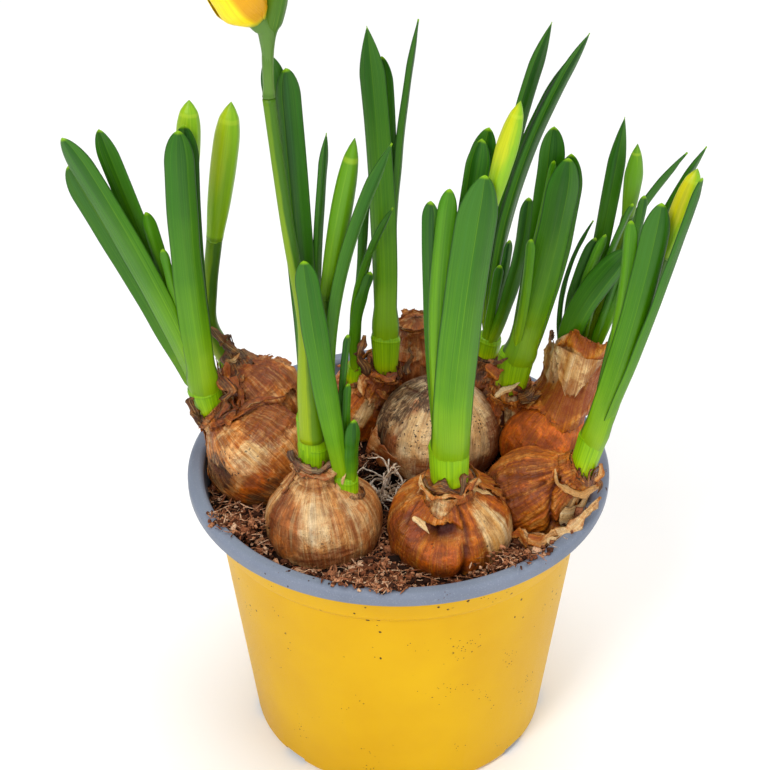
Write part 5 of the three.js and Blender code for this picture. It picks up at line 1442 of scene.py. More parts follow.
def right_collar(heap, nose, seed):
    """The tall crumpled collar that the right bulb's dry tunic makes round its shoot, and its torn cream flap."""
    lean = unit(vec(RIGHT_COLLAR_LEAN))
    right, back = square_to(lean, RIGHT)

    def place(reach, turn, rise):
        way = right * np.cos(turn)[..., None] + back * np.sin(turn)[..., None]
        return nose.neck + reach[..., None] * way + lean * rise[..., None]

    v, u = sheet_grid(*RIGHT_COLLAR_GRID)
    turn = np.radians(mix(150, 396, u))
    left = np.maximum(0, np.cos(turn - np.radians(215)))
    reach = mix(8.5, 11.2, v) + 0.7 * np.sin(3 * turn) + 6 * left * smooth(0.5, 0, v) ** 1.2
    folds = 1.3 * ridged(grid3(u * 7, v * 3.2, 4), 7, 3) + 0.5 * layered(grid3(u * 22, v * 9), 1, 9, 2)
    reach = reach + folds * (0.35 + v) + 0.8 * smooth(0.7, 1, v) * np.sin(9 * turn)
    crest = 17.5 + 9 * np.maximum(0, -np.sin(turn)) + 1.4 * np.sin(5 * turn)
    rise = mix(-4 - 5 * left, crest + 1.6 * layered(grid3(u * 12, 0 * v, 2), 1, 3, 3), v)
    border = np.minimum(np.minimum(u, 1 - u) * 46, (1 - v) * 18 + 0.4)
    inside = border - 0.7 * (1 + 1.5 * layered(grid3(u * 16, v * 9, 6), 1, 5, 3))
    values = bulb_values([], np.full(u.shape, 0.9), np.degrees(turn), seed, paper=1.0)
    values.update(edge=torn_edge(inside, 1), fold=np.clip(folds, -1, 1))
    blot = 0.5 + 0.7 * layered(grid3(u * 5, v * 4, 2), 1, 21, 3)
    values["cream"] = smooth(0.4, 0.9, blot) * smooth(0.35, 0.6, v)
    values["cream"] += 0.6 * smooth(250, 190, np.degrees(turn)) * smooth(0.3, 0.6, v)
    values["hot"] = smooth(0.3, 0.6, 1 - blot) * bell(v - 0.62, 0.18) * 0.9
    add_sheet(heap, place(reach + SHEET, turn, rise), place(reach, turn, rise), inside, values)

    # The flap hangs from the collar's front as a torn triangle
    v, u = sheet_grid(*RIGHT_FLAP_GRID, -1)
    half = mix(58, 6, v**0.8) * (1 + 0.12 * layered(grid3(u, v * 3), 1, 31, 3))
    turn = np.radians(mix(246, 258, v) + u * half)
    folds = ridged(grid3(u * 2.2, v * 2.4, 7), 33, 3)
    reach = 12.2 + 2.0 * v**1.4 + 0.6 * folds - 0.8 * u**2
    rise = mix(19, 5, v) + 0.8 * layered(grid3(u * 3, v * 2), 1, 35, 2)
    inside = np.minimum(1 - np.abs(u), (1 - v) * 1.6) * 6 - 0.5 * (1 + layered(grid3(u * 6, v * 6, 3), 1, 37, 3))
    values = bulb_values([], np.full(u.shape, 0.9), np.degrees(turn), seed + 4, paper=1.0)
    values.update(edge=0.6 * torn_edge(inside, 0.7), fold=folds, cream=0.85)
    add_sheet(heap, place(reach + SHEET, turn, rise), place(reach, turn, rise), inside, values)


def numbered(table):
    """All rows of a table, with their keys and their places in the whole table."""
    return enumerate((key, row) for key, rows in table.items() for row in rows)


def with_nose(noses, values):
    """The nose that a sheet or a strip lies on, and its other values."""
    return noses[values.get("nose", 0)], {key: value for key, value in values.items() if key != "nose"}


def bulb_piece(name):
    noses = NOSES[name]
    looks = [SKINS[name], SKINS.get(name + "_second", SKINS[name])]
    heap = Heap()
    seed = sum(map(ord, name)) % 23
    for k, nose in enumerate(noses):
        bulb_body(heap, nose, looks[k], seed + 3 * k)
    for k, values in enumerate(TUNICS.get(name, [])):
        nose, given = with_nose(noses, values)
        tunic(heap, nose, looks[values.get("nose", 0)], seed + 5 * k + 1, **given)
    for k, (key, given) in numbered(COLLARS):
        shoot = SHOOTS[key]
        if shoot["bulb"] == name and "low" in given:
            collar(heap, noses[key == "left_nose"], shoot, seed + k, **given)
        elif shoot["bulb"] == name:
            lips(heap, shoot, seed + k, **given)
    for k, (bulb, (path, width, values)) in numbered(SHARDS):
        if bulb == name:
            nose, given = with_nose(noses, values)
            strip_on(heap, nose, path, width, seed + 1.3 * k, **given)
    for k, (bulb, (path, width, values)) in numbered(FLAPS):
        if bulb == name:
            strip(heap, path, width, seed + 1.7 * k, STRIP_FACES, **values)
    if name == "right":
        right_collar(heap, noses[0], seed)
    if name == "back":
        sleeve(heap, noses[0], seed, 1.6, 1.6, 0.8, 0.9, 0.35)
        sleeve(heap, noses[0], seed + 2, 2.0, -4.6, 0.88, 1.2, 0.05)
    heap.piece(f"bulb_{name}_tunic", bulb_material(name, SKINS[name]), "bulb", "bulb_" + name)


# Pot, soil and roots
def soil_height(x, y):
    height = POT_HEIGHT - SOIL_DROP
    for cx, cy, rise, spread in SOIL_SPOTS:
        height = height + rise * np.exp(-((x - cx) ** 2 + (y - cy) ** 2) / spread**2)
    long, short = SOIL_RIPPLES
    return height + long * np.sin(0.42 * x + 1.3) * np.cos(0.37 * y) + short * np.sin(0.9 * x - 0.7 * y)


def rounded(profile, radius, steps=4):
    """A profile of [radius, height] points with its corners eased."""
    points = vec(profile)
    result = [points[0]]
    for before, corner, after in zip(points, points[1:], points[2:]):
        a, b = before - corner, after - corner
        reach = min(radius, 0.45 * np.linalg.norm(a), 0.45 * np.linalg.norm(b))
        result.extend(bezier(corner + unit(a) * reach, corner, corner + unit(b) * reach, steps))
    return np.array([*result, points[-1]])


def pot_piece(material):
    base, wall = WALL_RADIUS
    low, high = COLLAR_RADIUS
    inner = RIM_RADIUS - RIM_WIDTH
    outside = [[0.01, 0], [base - BASE_CHAMFER, 0], [base, BASE_CHAMFER], [wall, SHOULDER], [low, COLLAR_FOOT]]
    rim = [
        [high, RIM_FOOT],
        [RIM_RADIUS, RIM_FOOT],
        [RIM_RADIUS, POT_HEIGHT - RIM_ROUND],
        [RIM_RADIUS - RIM_ROUND, POT_HEIGHT],
        [inner + RIM_ROUND, POT_HEIGHT],
        [inner, POT_HEIGHT - RIM_ROUND],
        [high - WALL - RIM_STEP, RIM_FOOT],
    ]
    inside = [[low - WALL, COLLAR_FOOT], [wall - WALL, SHOULDER], [base - WALL, FLOOR + BASE_CHAMFER]]
    profile = rounded([*outside, *rim, *inside, [base - WALL - BASE_CHAMFER, FLOOR], [0.01, FLOOR]], POT_EASING)
    angle = circle(POT_SIDES)
    radius, height = profile[:, :1], profile[:, 1:]
    warp = 0.12 * np.sin(2 * angle + 0.6) + 0.07 * np.sin(5 * angle)
    radius = radius + warp * smooth(5, 60, height) * (radius > 10)
    points, faces = loft(grid3(radius * np.cos(angle), radius * np.sin(angle), height))
    mesh = bpy.data.meshes.new("pot_wall")
    mesh.from_pydata((points * MM).tolist(), [], faces)
    pot = linked("pot_wall", mesh)
    # Drain slots round the foot
    bm = bmesh.new()
    size = Matrix.Diagonal((DRAIN_DEPTH * MM, DRAIN_WIDTH * MM, 2 * DRAIN_HEIGHT * MM, 1))
    for k in range(DRAIN_COUNT):
        turn = Matrix.Rotation(math.radians(DRAIN_TURN + 360 * k / DRAIN_COUNT), 4, "Z")
        bmesh.ops.create_cube(bm, size=1, matrix=turn @ Matrix.Translation((base * MM, 0, 0)) @ size)
    slots = bpy.data.meshes.new("drain_slots")
    bm.to_mesh(slots)
    bm.free()
    cutter = linked("drain_slots", slots)
    cut = pot.modifiers.new("slots", "BOOLEAN")
    cut.operation, cut.solver, cut.object = "DIFFERENCE", "EXACT", cutter
    bpy.context.view_layer.update()
    done = bpy.data.meshes.new_from_object(pot.evaluated_get(bpy.context.evaluated_depsgraph_get()))
    done.name = "pot_shell"
    bpy.data.objects.remove(pot)
    bpy.data.objects.remove(cutter)
    obj = finish_piece("pot_shell", done, material, "pot", "pot")
    # Edges that turn far stay sharp under the smooth shading
    bm = bmesh.new()
    bm.from_mesh(obj.data)
    for edge in bm.edges:
        edge.smooth = not (len(edge.link_faces) == 2 and edge.calc_face_angle(0) > math.radians(SHARP_TURN))
    bm.to_mesh(obj.data)
    bm.free()


def soil_piece(material):
    """The soil's crumbly top and its plain body down to the pot's floor."""
    angle = circle(SOIL_SIDES)
    edge = COLLAR_RADIUS[0] - WALL + 0.6
    foot = WALL_RADIUS[0] - WALL - 0.6
    top = np.linspace(1, 0.004, SOIL_ROWS)[:, None] * edge
    x, y = top * np.cos(angle), top * np.sin(angle)
    z = soil_height(x, y) + 0.7 * layered(grid3(x, y), 0.5, 3) + 0.5 * np.abs(noise(grid3(x, y), 1.3, 8)) - 0.2
    body = [[foot - 1.5, FLOOR + SOIL_GAP], [foot, FLOOR + 2], [WALL_RADIUS[1] - WALL - 0.6, 76], [edge - 1.4, 80.4]]
    rings = [grid3(r * np.cos(angle), r * np.sin(angle), h) for r, h in body]
    points, faces = loft(np.concatenate([rings, grid3(x, y, z)]))
    heap = Heap()
    # The soil darkens with painted shade in the hollow among the bulbs
    heap.add(points, faces, tone=(0.14 + 0.22 * noise(points, 0.7, 4)) * hollow_shade(points[:, 0], points[:, 1]))
    heap.piece("soil_bed", material, "soil", "soil")


def in_bulb(point):
    """Whether a point is in a bulb or right under one."""
    for nose in ALL_NOSES:
        near = np.linalg.norm(point - nose.centre) < nose.radius * 0.97
        if near or (point[2] < nose.centre[2] and np.hypot(*(point[:2] - nose.centre[:2])) < nose.radius * 0.9):
            return True
    return False


CRUMB_CORNERS = vec([[x, y, z] for x in (-1, 1) for y in (-1, 1) for z in (-1, 1)])
CRUMB_FACES = [[0, 1, 3, 2], [4, 6, 7, 5], [0, 4, 5, 1], [2, 3, 7, 6], [0, 2, 6, 4], [1, 5, 7, 3]]


def hollow_shade(x, y):
    """Painted shade on the soil: it is darkest in the hollow round the roots, among the bulbs."""
    return mix(0.15, 1, smooth(8, 21, np.hypot(x - ROOT_KNOT[0], y - ROOT_KNOT[1])))


def crumb(heap, rng, at, size):
    shape = CRUMB_CORNERS * rng.uniform(0.55, 1.1, (8, 3)) * size * rng.uniform([0.6, 0.4, 0.3], [1.3, 0.9, 0.7])
    a, b = rng.uniform(0, 2 * np.pi, 2)
    shape = shape @ np.array([[math.cos(a), math.sin(a), 0], [-math.sin(a), math.cos(a), 0], [0, 0, 1]])
    shape = shape @ np.array([[1, 0, 0], [0, math.cos(b), math.sin(b)], [0, -math.sin(b), math.cos(b)]])
    # Crumbs darken with painted shade in the hollow among the bulbs
    heap.add(shape + at, CRUMB_FACES, tone=rng.random() * hollow_shade(at[0], at[1]))


def fibre(heap, rng, at, length, wide, tone, flat=0.35):
    """A short bent fibre, lying roughly level."""
    turn = rng.uniform(0, 2 * np.pi)
    way = vec([math.cos(turn), math.sin(turn), rng.uniform(-flat, flat * 1.6)]) * length / 2
    bend = rng.normal(0, 0.16, 3) * length
    size = wide * vec([0.35, 0.9, 1, 0.8, 0.3])[:, None]
    line = bezier(at - way, at + bend, at + way, 6)
    points, faces, _ = tube(line, np.linspace(0, 1, 5), circle(4), size, 0.5, vec([0.1, 0.2, 1.0]))
    # Fibres darken with painted shade in the hollow among the bulbs
    heap.add(points, faces, tone=tone * mix(0.4, 1, hollow_shade(at[0], at[1])))


def crumbs_piece(material):
    """Crumbs and fibres of peat over the soil, in the gaps between the bulbs and spilt on the rim."""
    rng = np.random.default_rng(CRUMB_SEED)
    heap = Heap()
    hollow_x, hollow_y, hollow_reach, bare = ROOT_HOLLOW
    made = 0
    while made < CRUMB_COUNT:
        r, turn = CRUMB_REACH * math.sqrt(rng.random()), rng.uniform(0, 2 * np.pi)
        x, y = r * math.cos(turn), r * math.sin(turn)
        at = vec([x, y, soil_height(x, y) + rng.uniform(0.1, 0.9)])
        # Few lie in the hollow with the roots
        if in_bulb(at) or (math.hypot(x - hollow_x, y - hollow_y) < hollow_reach and rng.random() < bare):
            continue
        made += 1
        if rng.random() < FIBRE_SHARES[0]:
            fibre(heap, rng, at + [0, 0, 0.6], rng.uniform(1.5, 6.5), rng.uniform(0.14, 0.38), rng.uniform(0.5, 1))
        else:
            crumb(heap, rng, at, rng.uniform(0.35, 1.0) * (1 if rng.random() < BIG_SHARES[0] else BIG_SIZES[0]))
    for x, y, spread, count in SPILLS:
        for _ in range(count):
            px, py = x + rng.normal(0, spread), y + rng.normal(0, spread * 0.55)
            r = math.hypot(px, py)
            if r > RIM_RADIUS - 0.7:
                continue
            base = POT_HEIGHT if r > RIM_RADIUS - RIM_WIDTH else max(POT_HEIGHT - 3.4, soil_height(px, py))
            mound = 1.6 * math.exp(-((px - x) ** 2 + (py - y) ** 2) / spread**2)
            at = vec([px, py, base + rng.uniform(0.1, 0.6) + mound])
            if rng.random() < FIBRE_SHARES[1]:
                size = rng.uniform(1.4, 5.0), rng.uniform(0.14, 0.36)
                fibre(heap, rng, at + [0, 0, 0.3], *size, rng.uniform(0.35, 1), 0.2)
            else:
                crumb(heap, rng, at, rng.uniform(0.3, 0.9) * (1 if rng.random() < BIG_SHARES[1] else BIG_SIZES[1]))
    heap.piece("soil_crumbs", material, "soil")


def root_thread(heap, rng, start, way, length, wide, depth=0):
    """A thin wandering root that forks."""
    steps = max(5, int(length / 1.4))
    points = [start]
    heading = unit(way)
    for _ in range(steps):
        heading = unit(heading + rng.normal(0, 0.3, 3) + vec([0, 0, -0.05]))
        points.append(points[-1] + heading * length / steps)
    taper = wide * np.linspace(1, 0.45, 2 * steps)[:, None]
    size = taper * (1 + 0.2 * rng.normal(0, 1, (2 * steps, 1)).clip(-1, 1))
    line = centripetal(points)
    skin, faces, _ = tube(line, np.linspace(0, 1, 2 * steps), circle(6), size, 1.0, vec([0.13, 0.2, 1]))
    heap.add(skin, faces, tone=rng.random())
    if depth < ROOT_FORKS:
        for _ in range(rng.integers(1, 4)):
            k = rng.integers(2, steps)
            turn = unit(heading + rng.normal(0, 0.9, 3))
            root_thread(heap, rng, points[k], turn, length * rng.uniform(0.3, 0.6), wide * 0.65, depth + 1)


def roots_piece(material):
    """Threads out of a knot."""
    rng = np.random.default_rng(ROOT_SEED)
    heap = Heap()
    knot = vec(ROOT_KNOT)
    for k in range(ROOT_COUNT):
        turn = 2 * np.pi * k / ROOT_COUNT + rng.uniform(-0.2, 0.2)
        start = knot + vec([math.cos(turn) * 2.2, math.sin(turn) * 2.2, rng.uniform(0, 3.5)])
        way = vec([math.cos(turn), math.sin(turn), rng.uniform(0.2, 0.95)])
        root_thread(heap, rng, start, way, rng.uniform(10, 16), rng.uniform(0.3, 0.52))
    size = np.linspace(-1, 1, 14)[:, None]
    angle = circle(16)
    lumps = 1 + 0.2 * noise(grid3(np.cos(angle) * 2, np.sin(angle) * 2, size))
    wide = 2.6 * np.sqrt(np.maximum(1 - size**2, 0.01)) * lumps
    heap.add(*loft(grid3(wide * np.cos(angle), wide * np.sin(angle), 3 * size) + knot), tone=0.3)
    heap.piece("root_threads", material, "root", "roots")


# The opening bloom: its stem's foot, where its tube starts, the way it points and two ways square to that
BLOOM_FOOT = vec(SHOOTS["front_left"]["foot"])
BLOOM_START = BLOOM_FOOT + vec(BLOOM_BASE)
BLOOM_WAY = unit(vec(BLOOM_AXIS))
BLOOM_ROUND = square_to(BLOOM_WAY, FRONT)


def bloom_point(up, radius, degrees):
    """Points at heights along the flower's axis, radii from it and angles round it."""
    up, radius, turn = np.broadcast_arrays(up, radius, np.radians(degrees))
    first, second = BLOOM_ROUND
    way = first * np.cos(turn)[..., None] + second * np.sin(turn)[..., None]
    return BLOOM_START + BLOOM_WAY * up[..., None] + radius[..., None] * way


def tepals_piece(material):
    heap = Heap()
    share, across = sheet_grid(*TEPAL_GRID, -1)
    opened = np.sin(np.minimum(share / 0.4, 1) * np.pi / 2)
    closing = 1.6 * np.maximum(0, share - 0.4) / 0.6
    half = np.maximum(TEPAL_WIDTH * 0.5 * np.sin(np.pi * mix(0.2, 0.97, share)) ** 0.7, 0.3)
    veins = 0.07 * np.cos(across * 34) * (1 - np.abs(across)) + 0.16 * bell(across, 0.09)
    up = TUBE_LENGTH - 1.4 + share * TEPAL_LENGTH
    # Every second petal lies inside the others
    for k in range(TEPAL_COUNT):
        reach = mix(TUBE_RADIUS - 0.6, TEPAL_BULGE - TEPAL_STEP * (k % 2), opened) - closing
        turn = 360 / TEPAL_COUNT * k + np.degrees(across * half / np.maximum(reach, 3.4))
        ripple = 0.25 * layered(grid3(share * 3, across * 2, k * 3.1), 1, 60 + k, 2)
        ripple = ripple + 0.2 * across**2 * np.sin(share * 9 + k)
        tuck = 0.55 * np.abs(across) ** 3 * (1 if k % 2 else -0.4)
        out = reach + veins + ripple - tuck
        outer = bloom_point(up, out + 0.55 - 0.3 * across**2, turn)
        inner = bloom_point(up, out + 0.2 * across**2, turn)
        warm = smooth(-0.6, 0.9, (outer - BLOOM_START) @ BLOOM_WARM)
        values = {"along": share, "across": across, "warm": warm, "seed": k * 1.7}
        add_sheet(heap, outer, inner, np.ones(share.shape), values)
    # The tube widens smoothly out of the stalk
    stalk = BLOOM_FOOT + vec(SPATHE_PATH[1])
    tops = [BLOOM_START + BLOOM_WAY * run for run in (-0.2, 2.4, 4.6)]
    line = centripetal([stalk - [0.02, 0, 2.5], stalk + [-0.1, 0, 2.6], *tops])
    shares = np.linspace(0, 1, 40)
    angle = circle(36)
    radius = np.interp(shares, [0, 0.3, 0.55, 0.78, 1], [1.3, 1.7, 2.2, TUBE_RADIUS + 0.2, TUBE_RADIUS + 0.5])
    points, faces, _ = tube(line, shares, angle, radius[:, None] + 0.06 * np.cos(angle * 12))
    heap.add(points, faces, along=0, across=0.5, seed=3)
    heap.piece("bloom_petals", material, "tepal", "bloom_tepals")


def corona_piece(material):
    """The trumpet, out to its frilled mouth and back inside."""
    heap = Heap()
    out_rows, in_rows = CORONA_ROWS
    share = np.concatenate([np.linspace(0, 1, out_rows), np.linspace(1, 0.1, in_rows)])[:, None]
    inner = np.repeat([0, 1], CORONA_ROWS)[:, None]
    degrees = np.linspace(0, 360, CORONA_SIDES, endpoint=False)[None]
    turn = np.radians(degrees)
    frill = (0.4 * np.cos(6 * turn) + 0.25 * np.cos(17 * turn + 1)) * share**3
    radius = mix(*CORONA_RADIUS, share**1.4) + 0.6 * smooth(0.85, 1, share) - 0.7 * inner
    radius = radius + frill + 0.1 * np.cos(18 * turn) * share
    points, faces = loft(bloom_point(TUBE_LENGTH + 1 + CORONA_LENGTH * share + frill, radius, degrees))
    heap.add(points, faces, along=ends(share, radius.shape, 0, 0.1), seed=1)
    heap.piece("bloom_trumpet", material, "corona", "bloom_corona")


def spathe_piece(material):
    line = centripetal([BLOOM_FOOT + vec(point) for point in SPATHE_PATH])
    shares = np.concatenate([np.linspace(0, 0.08, 8), np.linspace(0.1, 0.92, 46), np.linspace(0.93, 1, 12)])
    table = centripetal([[p, r, 0] for p, r in SPATHE_RADII], 300)
    radius = np.interp(shares, table[:, 0], table[:, 1])[:, None]
    angle = circle(SPATHE_SIDES)
    lumps = 0.05 * noise(grid3(np.cos(angle), np.sin(angle), shares[:, None] * 3))
    radius = radius * (1 + 0.03 * np.cos(8 * angle) + lumps) + 0.15 * bell(shares[:, None] - 0.035, 0.02)
    points, faces, values = tube(line, shares, angle, radius, SPATHE_OVAL)
    heap = Heap()
    heap.add(points, faces, blush=0.1, seed=2, **values)
    heap.piece("bloom_hood", material, "spathe", "bloom_spathe")


# Looks of the materials
def greens_material():
    n = Nodes("greens", 0.42, Specular_IOR_Level=0.28)
    run, across, tip, tone, seed, far = n.values("along", "across", "tip", "tone", "seed", "far")
    in_sheath, in_stem, cx, cy = n.values("sheath", "stem", "cx", "cy")
    # Parallel veins run the whole length of a leaf
    broad = n.noise(n.vector((across, 3.2), (run, 0.9), seed), 1, 2)
    veins = n.noise(n.vector((across, 22), (run, 1.2), seed), 1, 4)
    cloud = n.noise(n.place(), 0.045, 3)
    climb = n.swayed(cloud, 0.4, run)
    pale, dark = ((0.05, (136, 176, 2)), (0.25, (100, 156, 6))), ((0.75, (54, 104, 24)), (1, (44, 88, 32)))
    leaf = n.ramp(climb, *pale, (0.5, (74, 130, 10)), *dark)
    bright = n.ramp(climb, (0, (156, 192, 2)), (0.5, (112, 168, 8)), (1, (82, 148, 20)))
    deep = n.ramp(climb, (0.05, (126, 168, 2)), (0.2, (70, 120, 4)), (0.4, (40, 92, 8)), (1, (24, 62, 22)))
    # Lengthwise facets: a painted highlight on one side of the blade, painted shade on the other, and a thin painted
    # highlight along the ridge
    shift = n.times(n.math("SINE", n.times(seed, 2.3)), 0.3)
    side = n.math("SIGN", n.math("ADD", n.math("SINE", n.times(seed, 5.1)), 0.6))
    sided = n.times(n.math("SUBTRACT", across, shift), side)
    leaf = n.wash(
        leaf,
        ((tone, 0.5, 1.0), bright),
        ((tone, 0.5, 0.0), deep),
        (n.times(n.span(sided, 0.22, 0.34), n.span(climb, 0.1, 0.55, 0.1, 0.5)), (84, 128, 62)),
        ((sided, -0.3, -0.36, 0.0, 0.3), (60, 124, 6)),
        (n.times(n.span(broad, 0.5, 0.64), n.span(climb, 0.3, 0.8, 0.0, 0.25)), (80, 126, 70)),
        (n.near(sided, 0.28, 0.0, 0.035, 0.26, 0.0), (142, 184, 70)),
        ((veins, 0.4, 0.52, 0.2, 0.0), (30, 78, 4)),
        ((veins, 0.55, 0.66, 0.0, 0.14), (146, 192, 70)),
        # Painted shade along the blade's rounded edges
        ((n.math("ABSOLUTE", across), 0.9, 0.99, 0.0, 0.75), (24, 66, 10)),
        ((tip, 0.15, 1.3, 0.8, 0.0), (150, 196, 60)),
    )
    # Sheath: pale, with fine green lines, and a thin pale lip at its ring
    lines = n.noise(n.vector((cx, 9), (cy, 9), seed), 1, 3)
    case = n.wash(
        n.ramp(run, (0, (186, 208, 84)), (0.35, (150, 196, 20)), (1, (130, 182, 10))),
        ((lines, 0.4, 0.56, 0.4, 0.0), (72, 126, 2)),
        ((lines, 0.55, 0.68, 0.0, 0.3), (176, 208, 80)),
        ((n.math("ABSOLUTE", far), 0.03, 0.2, 0.4, 0.0), (176, 208, 90)),
        (n.times(n.span(far, -0.9, -0.35), n.span(far, -0.25, 0.0, 0.25, 0.0)), (70, 120, 4)),
    )
    # Flower stems: a painted highlight makes one side lime, and painted shade leaves the other side dark green
    lit_lime = n.ramp(run, (0, (160, 184, 4)), (0.6, (126, 158, 4)), (1, (98, 138, 16)))
    stalk = n.wash(
        n.ramp(run, (0, (104, 144, 4)), (0.6, (54, 98, 4)), (1, (70, 112, 22))),
        ((n.swayed(cloud, 1.2, across), 0.15, -0.25), lit_lime),
        ((veins, 0.42, 0.58, 0.25, 0.0), (50, 96, 4)),
    )
    n.rough(broad, 0.35, 0.65, 0.34, 0.48)
    n.bump((veins, 0.14), (lines, 0.12))
    return n.color(n.wash(leaf, (in_sheath, case), (in_stem, stalk)), 1.18, 0.93)


def bud_material(name, low, high, nib):
    n = Nodes(name, 0.4, Specular_IOR_Level=0.3)
    run, blush, seed, cx, cy = n.values("along", "blush", "seed", "cx", "cy")
    lines = n.noise(n.vector((cx, 6), (cy, 6), n.math("MULTIPLY_ADD", run, 1.5, seed)), 1, 3)
    cloud = n.noise(n.vector((cx, 0.9), (cy, 0.9), (run, 2.2)), 1, 3)
    side = n.swayed(cloud, 1.6, cx)
    # The yellow of the flower shines through one side
    glow = n.times(n.span(side, 0.45, -0.5), n.span(blush, 0.0, 0.7))
    glow = n.times(glow, n.span(run, 0.2, 0.6), clamp=True)
    core = n.times(n.span(blush, 0.6, 1.0), n.span(side, 0.0, -0.6), clamp=True)
    core = n.times(core, n.times(n.span(run, 0.3, 0.62), n.span(run, 0.98, 0.82)), clamp=True)
    color = n.wash(
        n.ramp(run, (0, low), (0.14, low), (0.5, high), (1, high)),
        (n.times(glow, 0.75), (210, 204, 6)),
        (n.times(core, 0.55), (240, 190, 6)),
        ((lines, 0.4, 0.54, 0.18, 0.0), (84, 132, 6)),
        ((lines, 0.57, 0.7, 0.0, 0.16), (200, 216, 60)),
        (n.times(n.span(run, 0.855, 0.87), n.span(run, 0.885, 0.9, 0.28, 0.0)), (196, 214, 60)),
        ((run, 0.93, 0.99, 0.0, 0.7), nib),
        # A darker crease where the spathe leaves the stem
        (n.times(n.span(run, 0.0, 0.012), n.span(run, 0.02, 0.05, 0.6, 0.0)), (60, 100, 4)),
    )
    n.bump((lines, 0.1))
    return n.color(color)


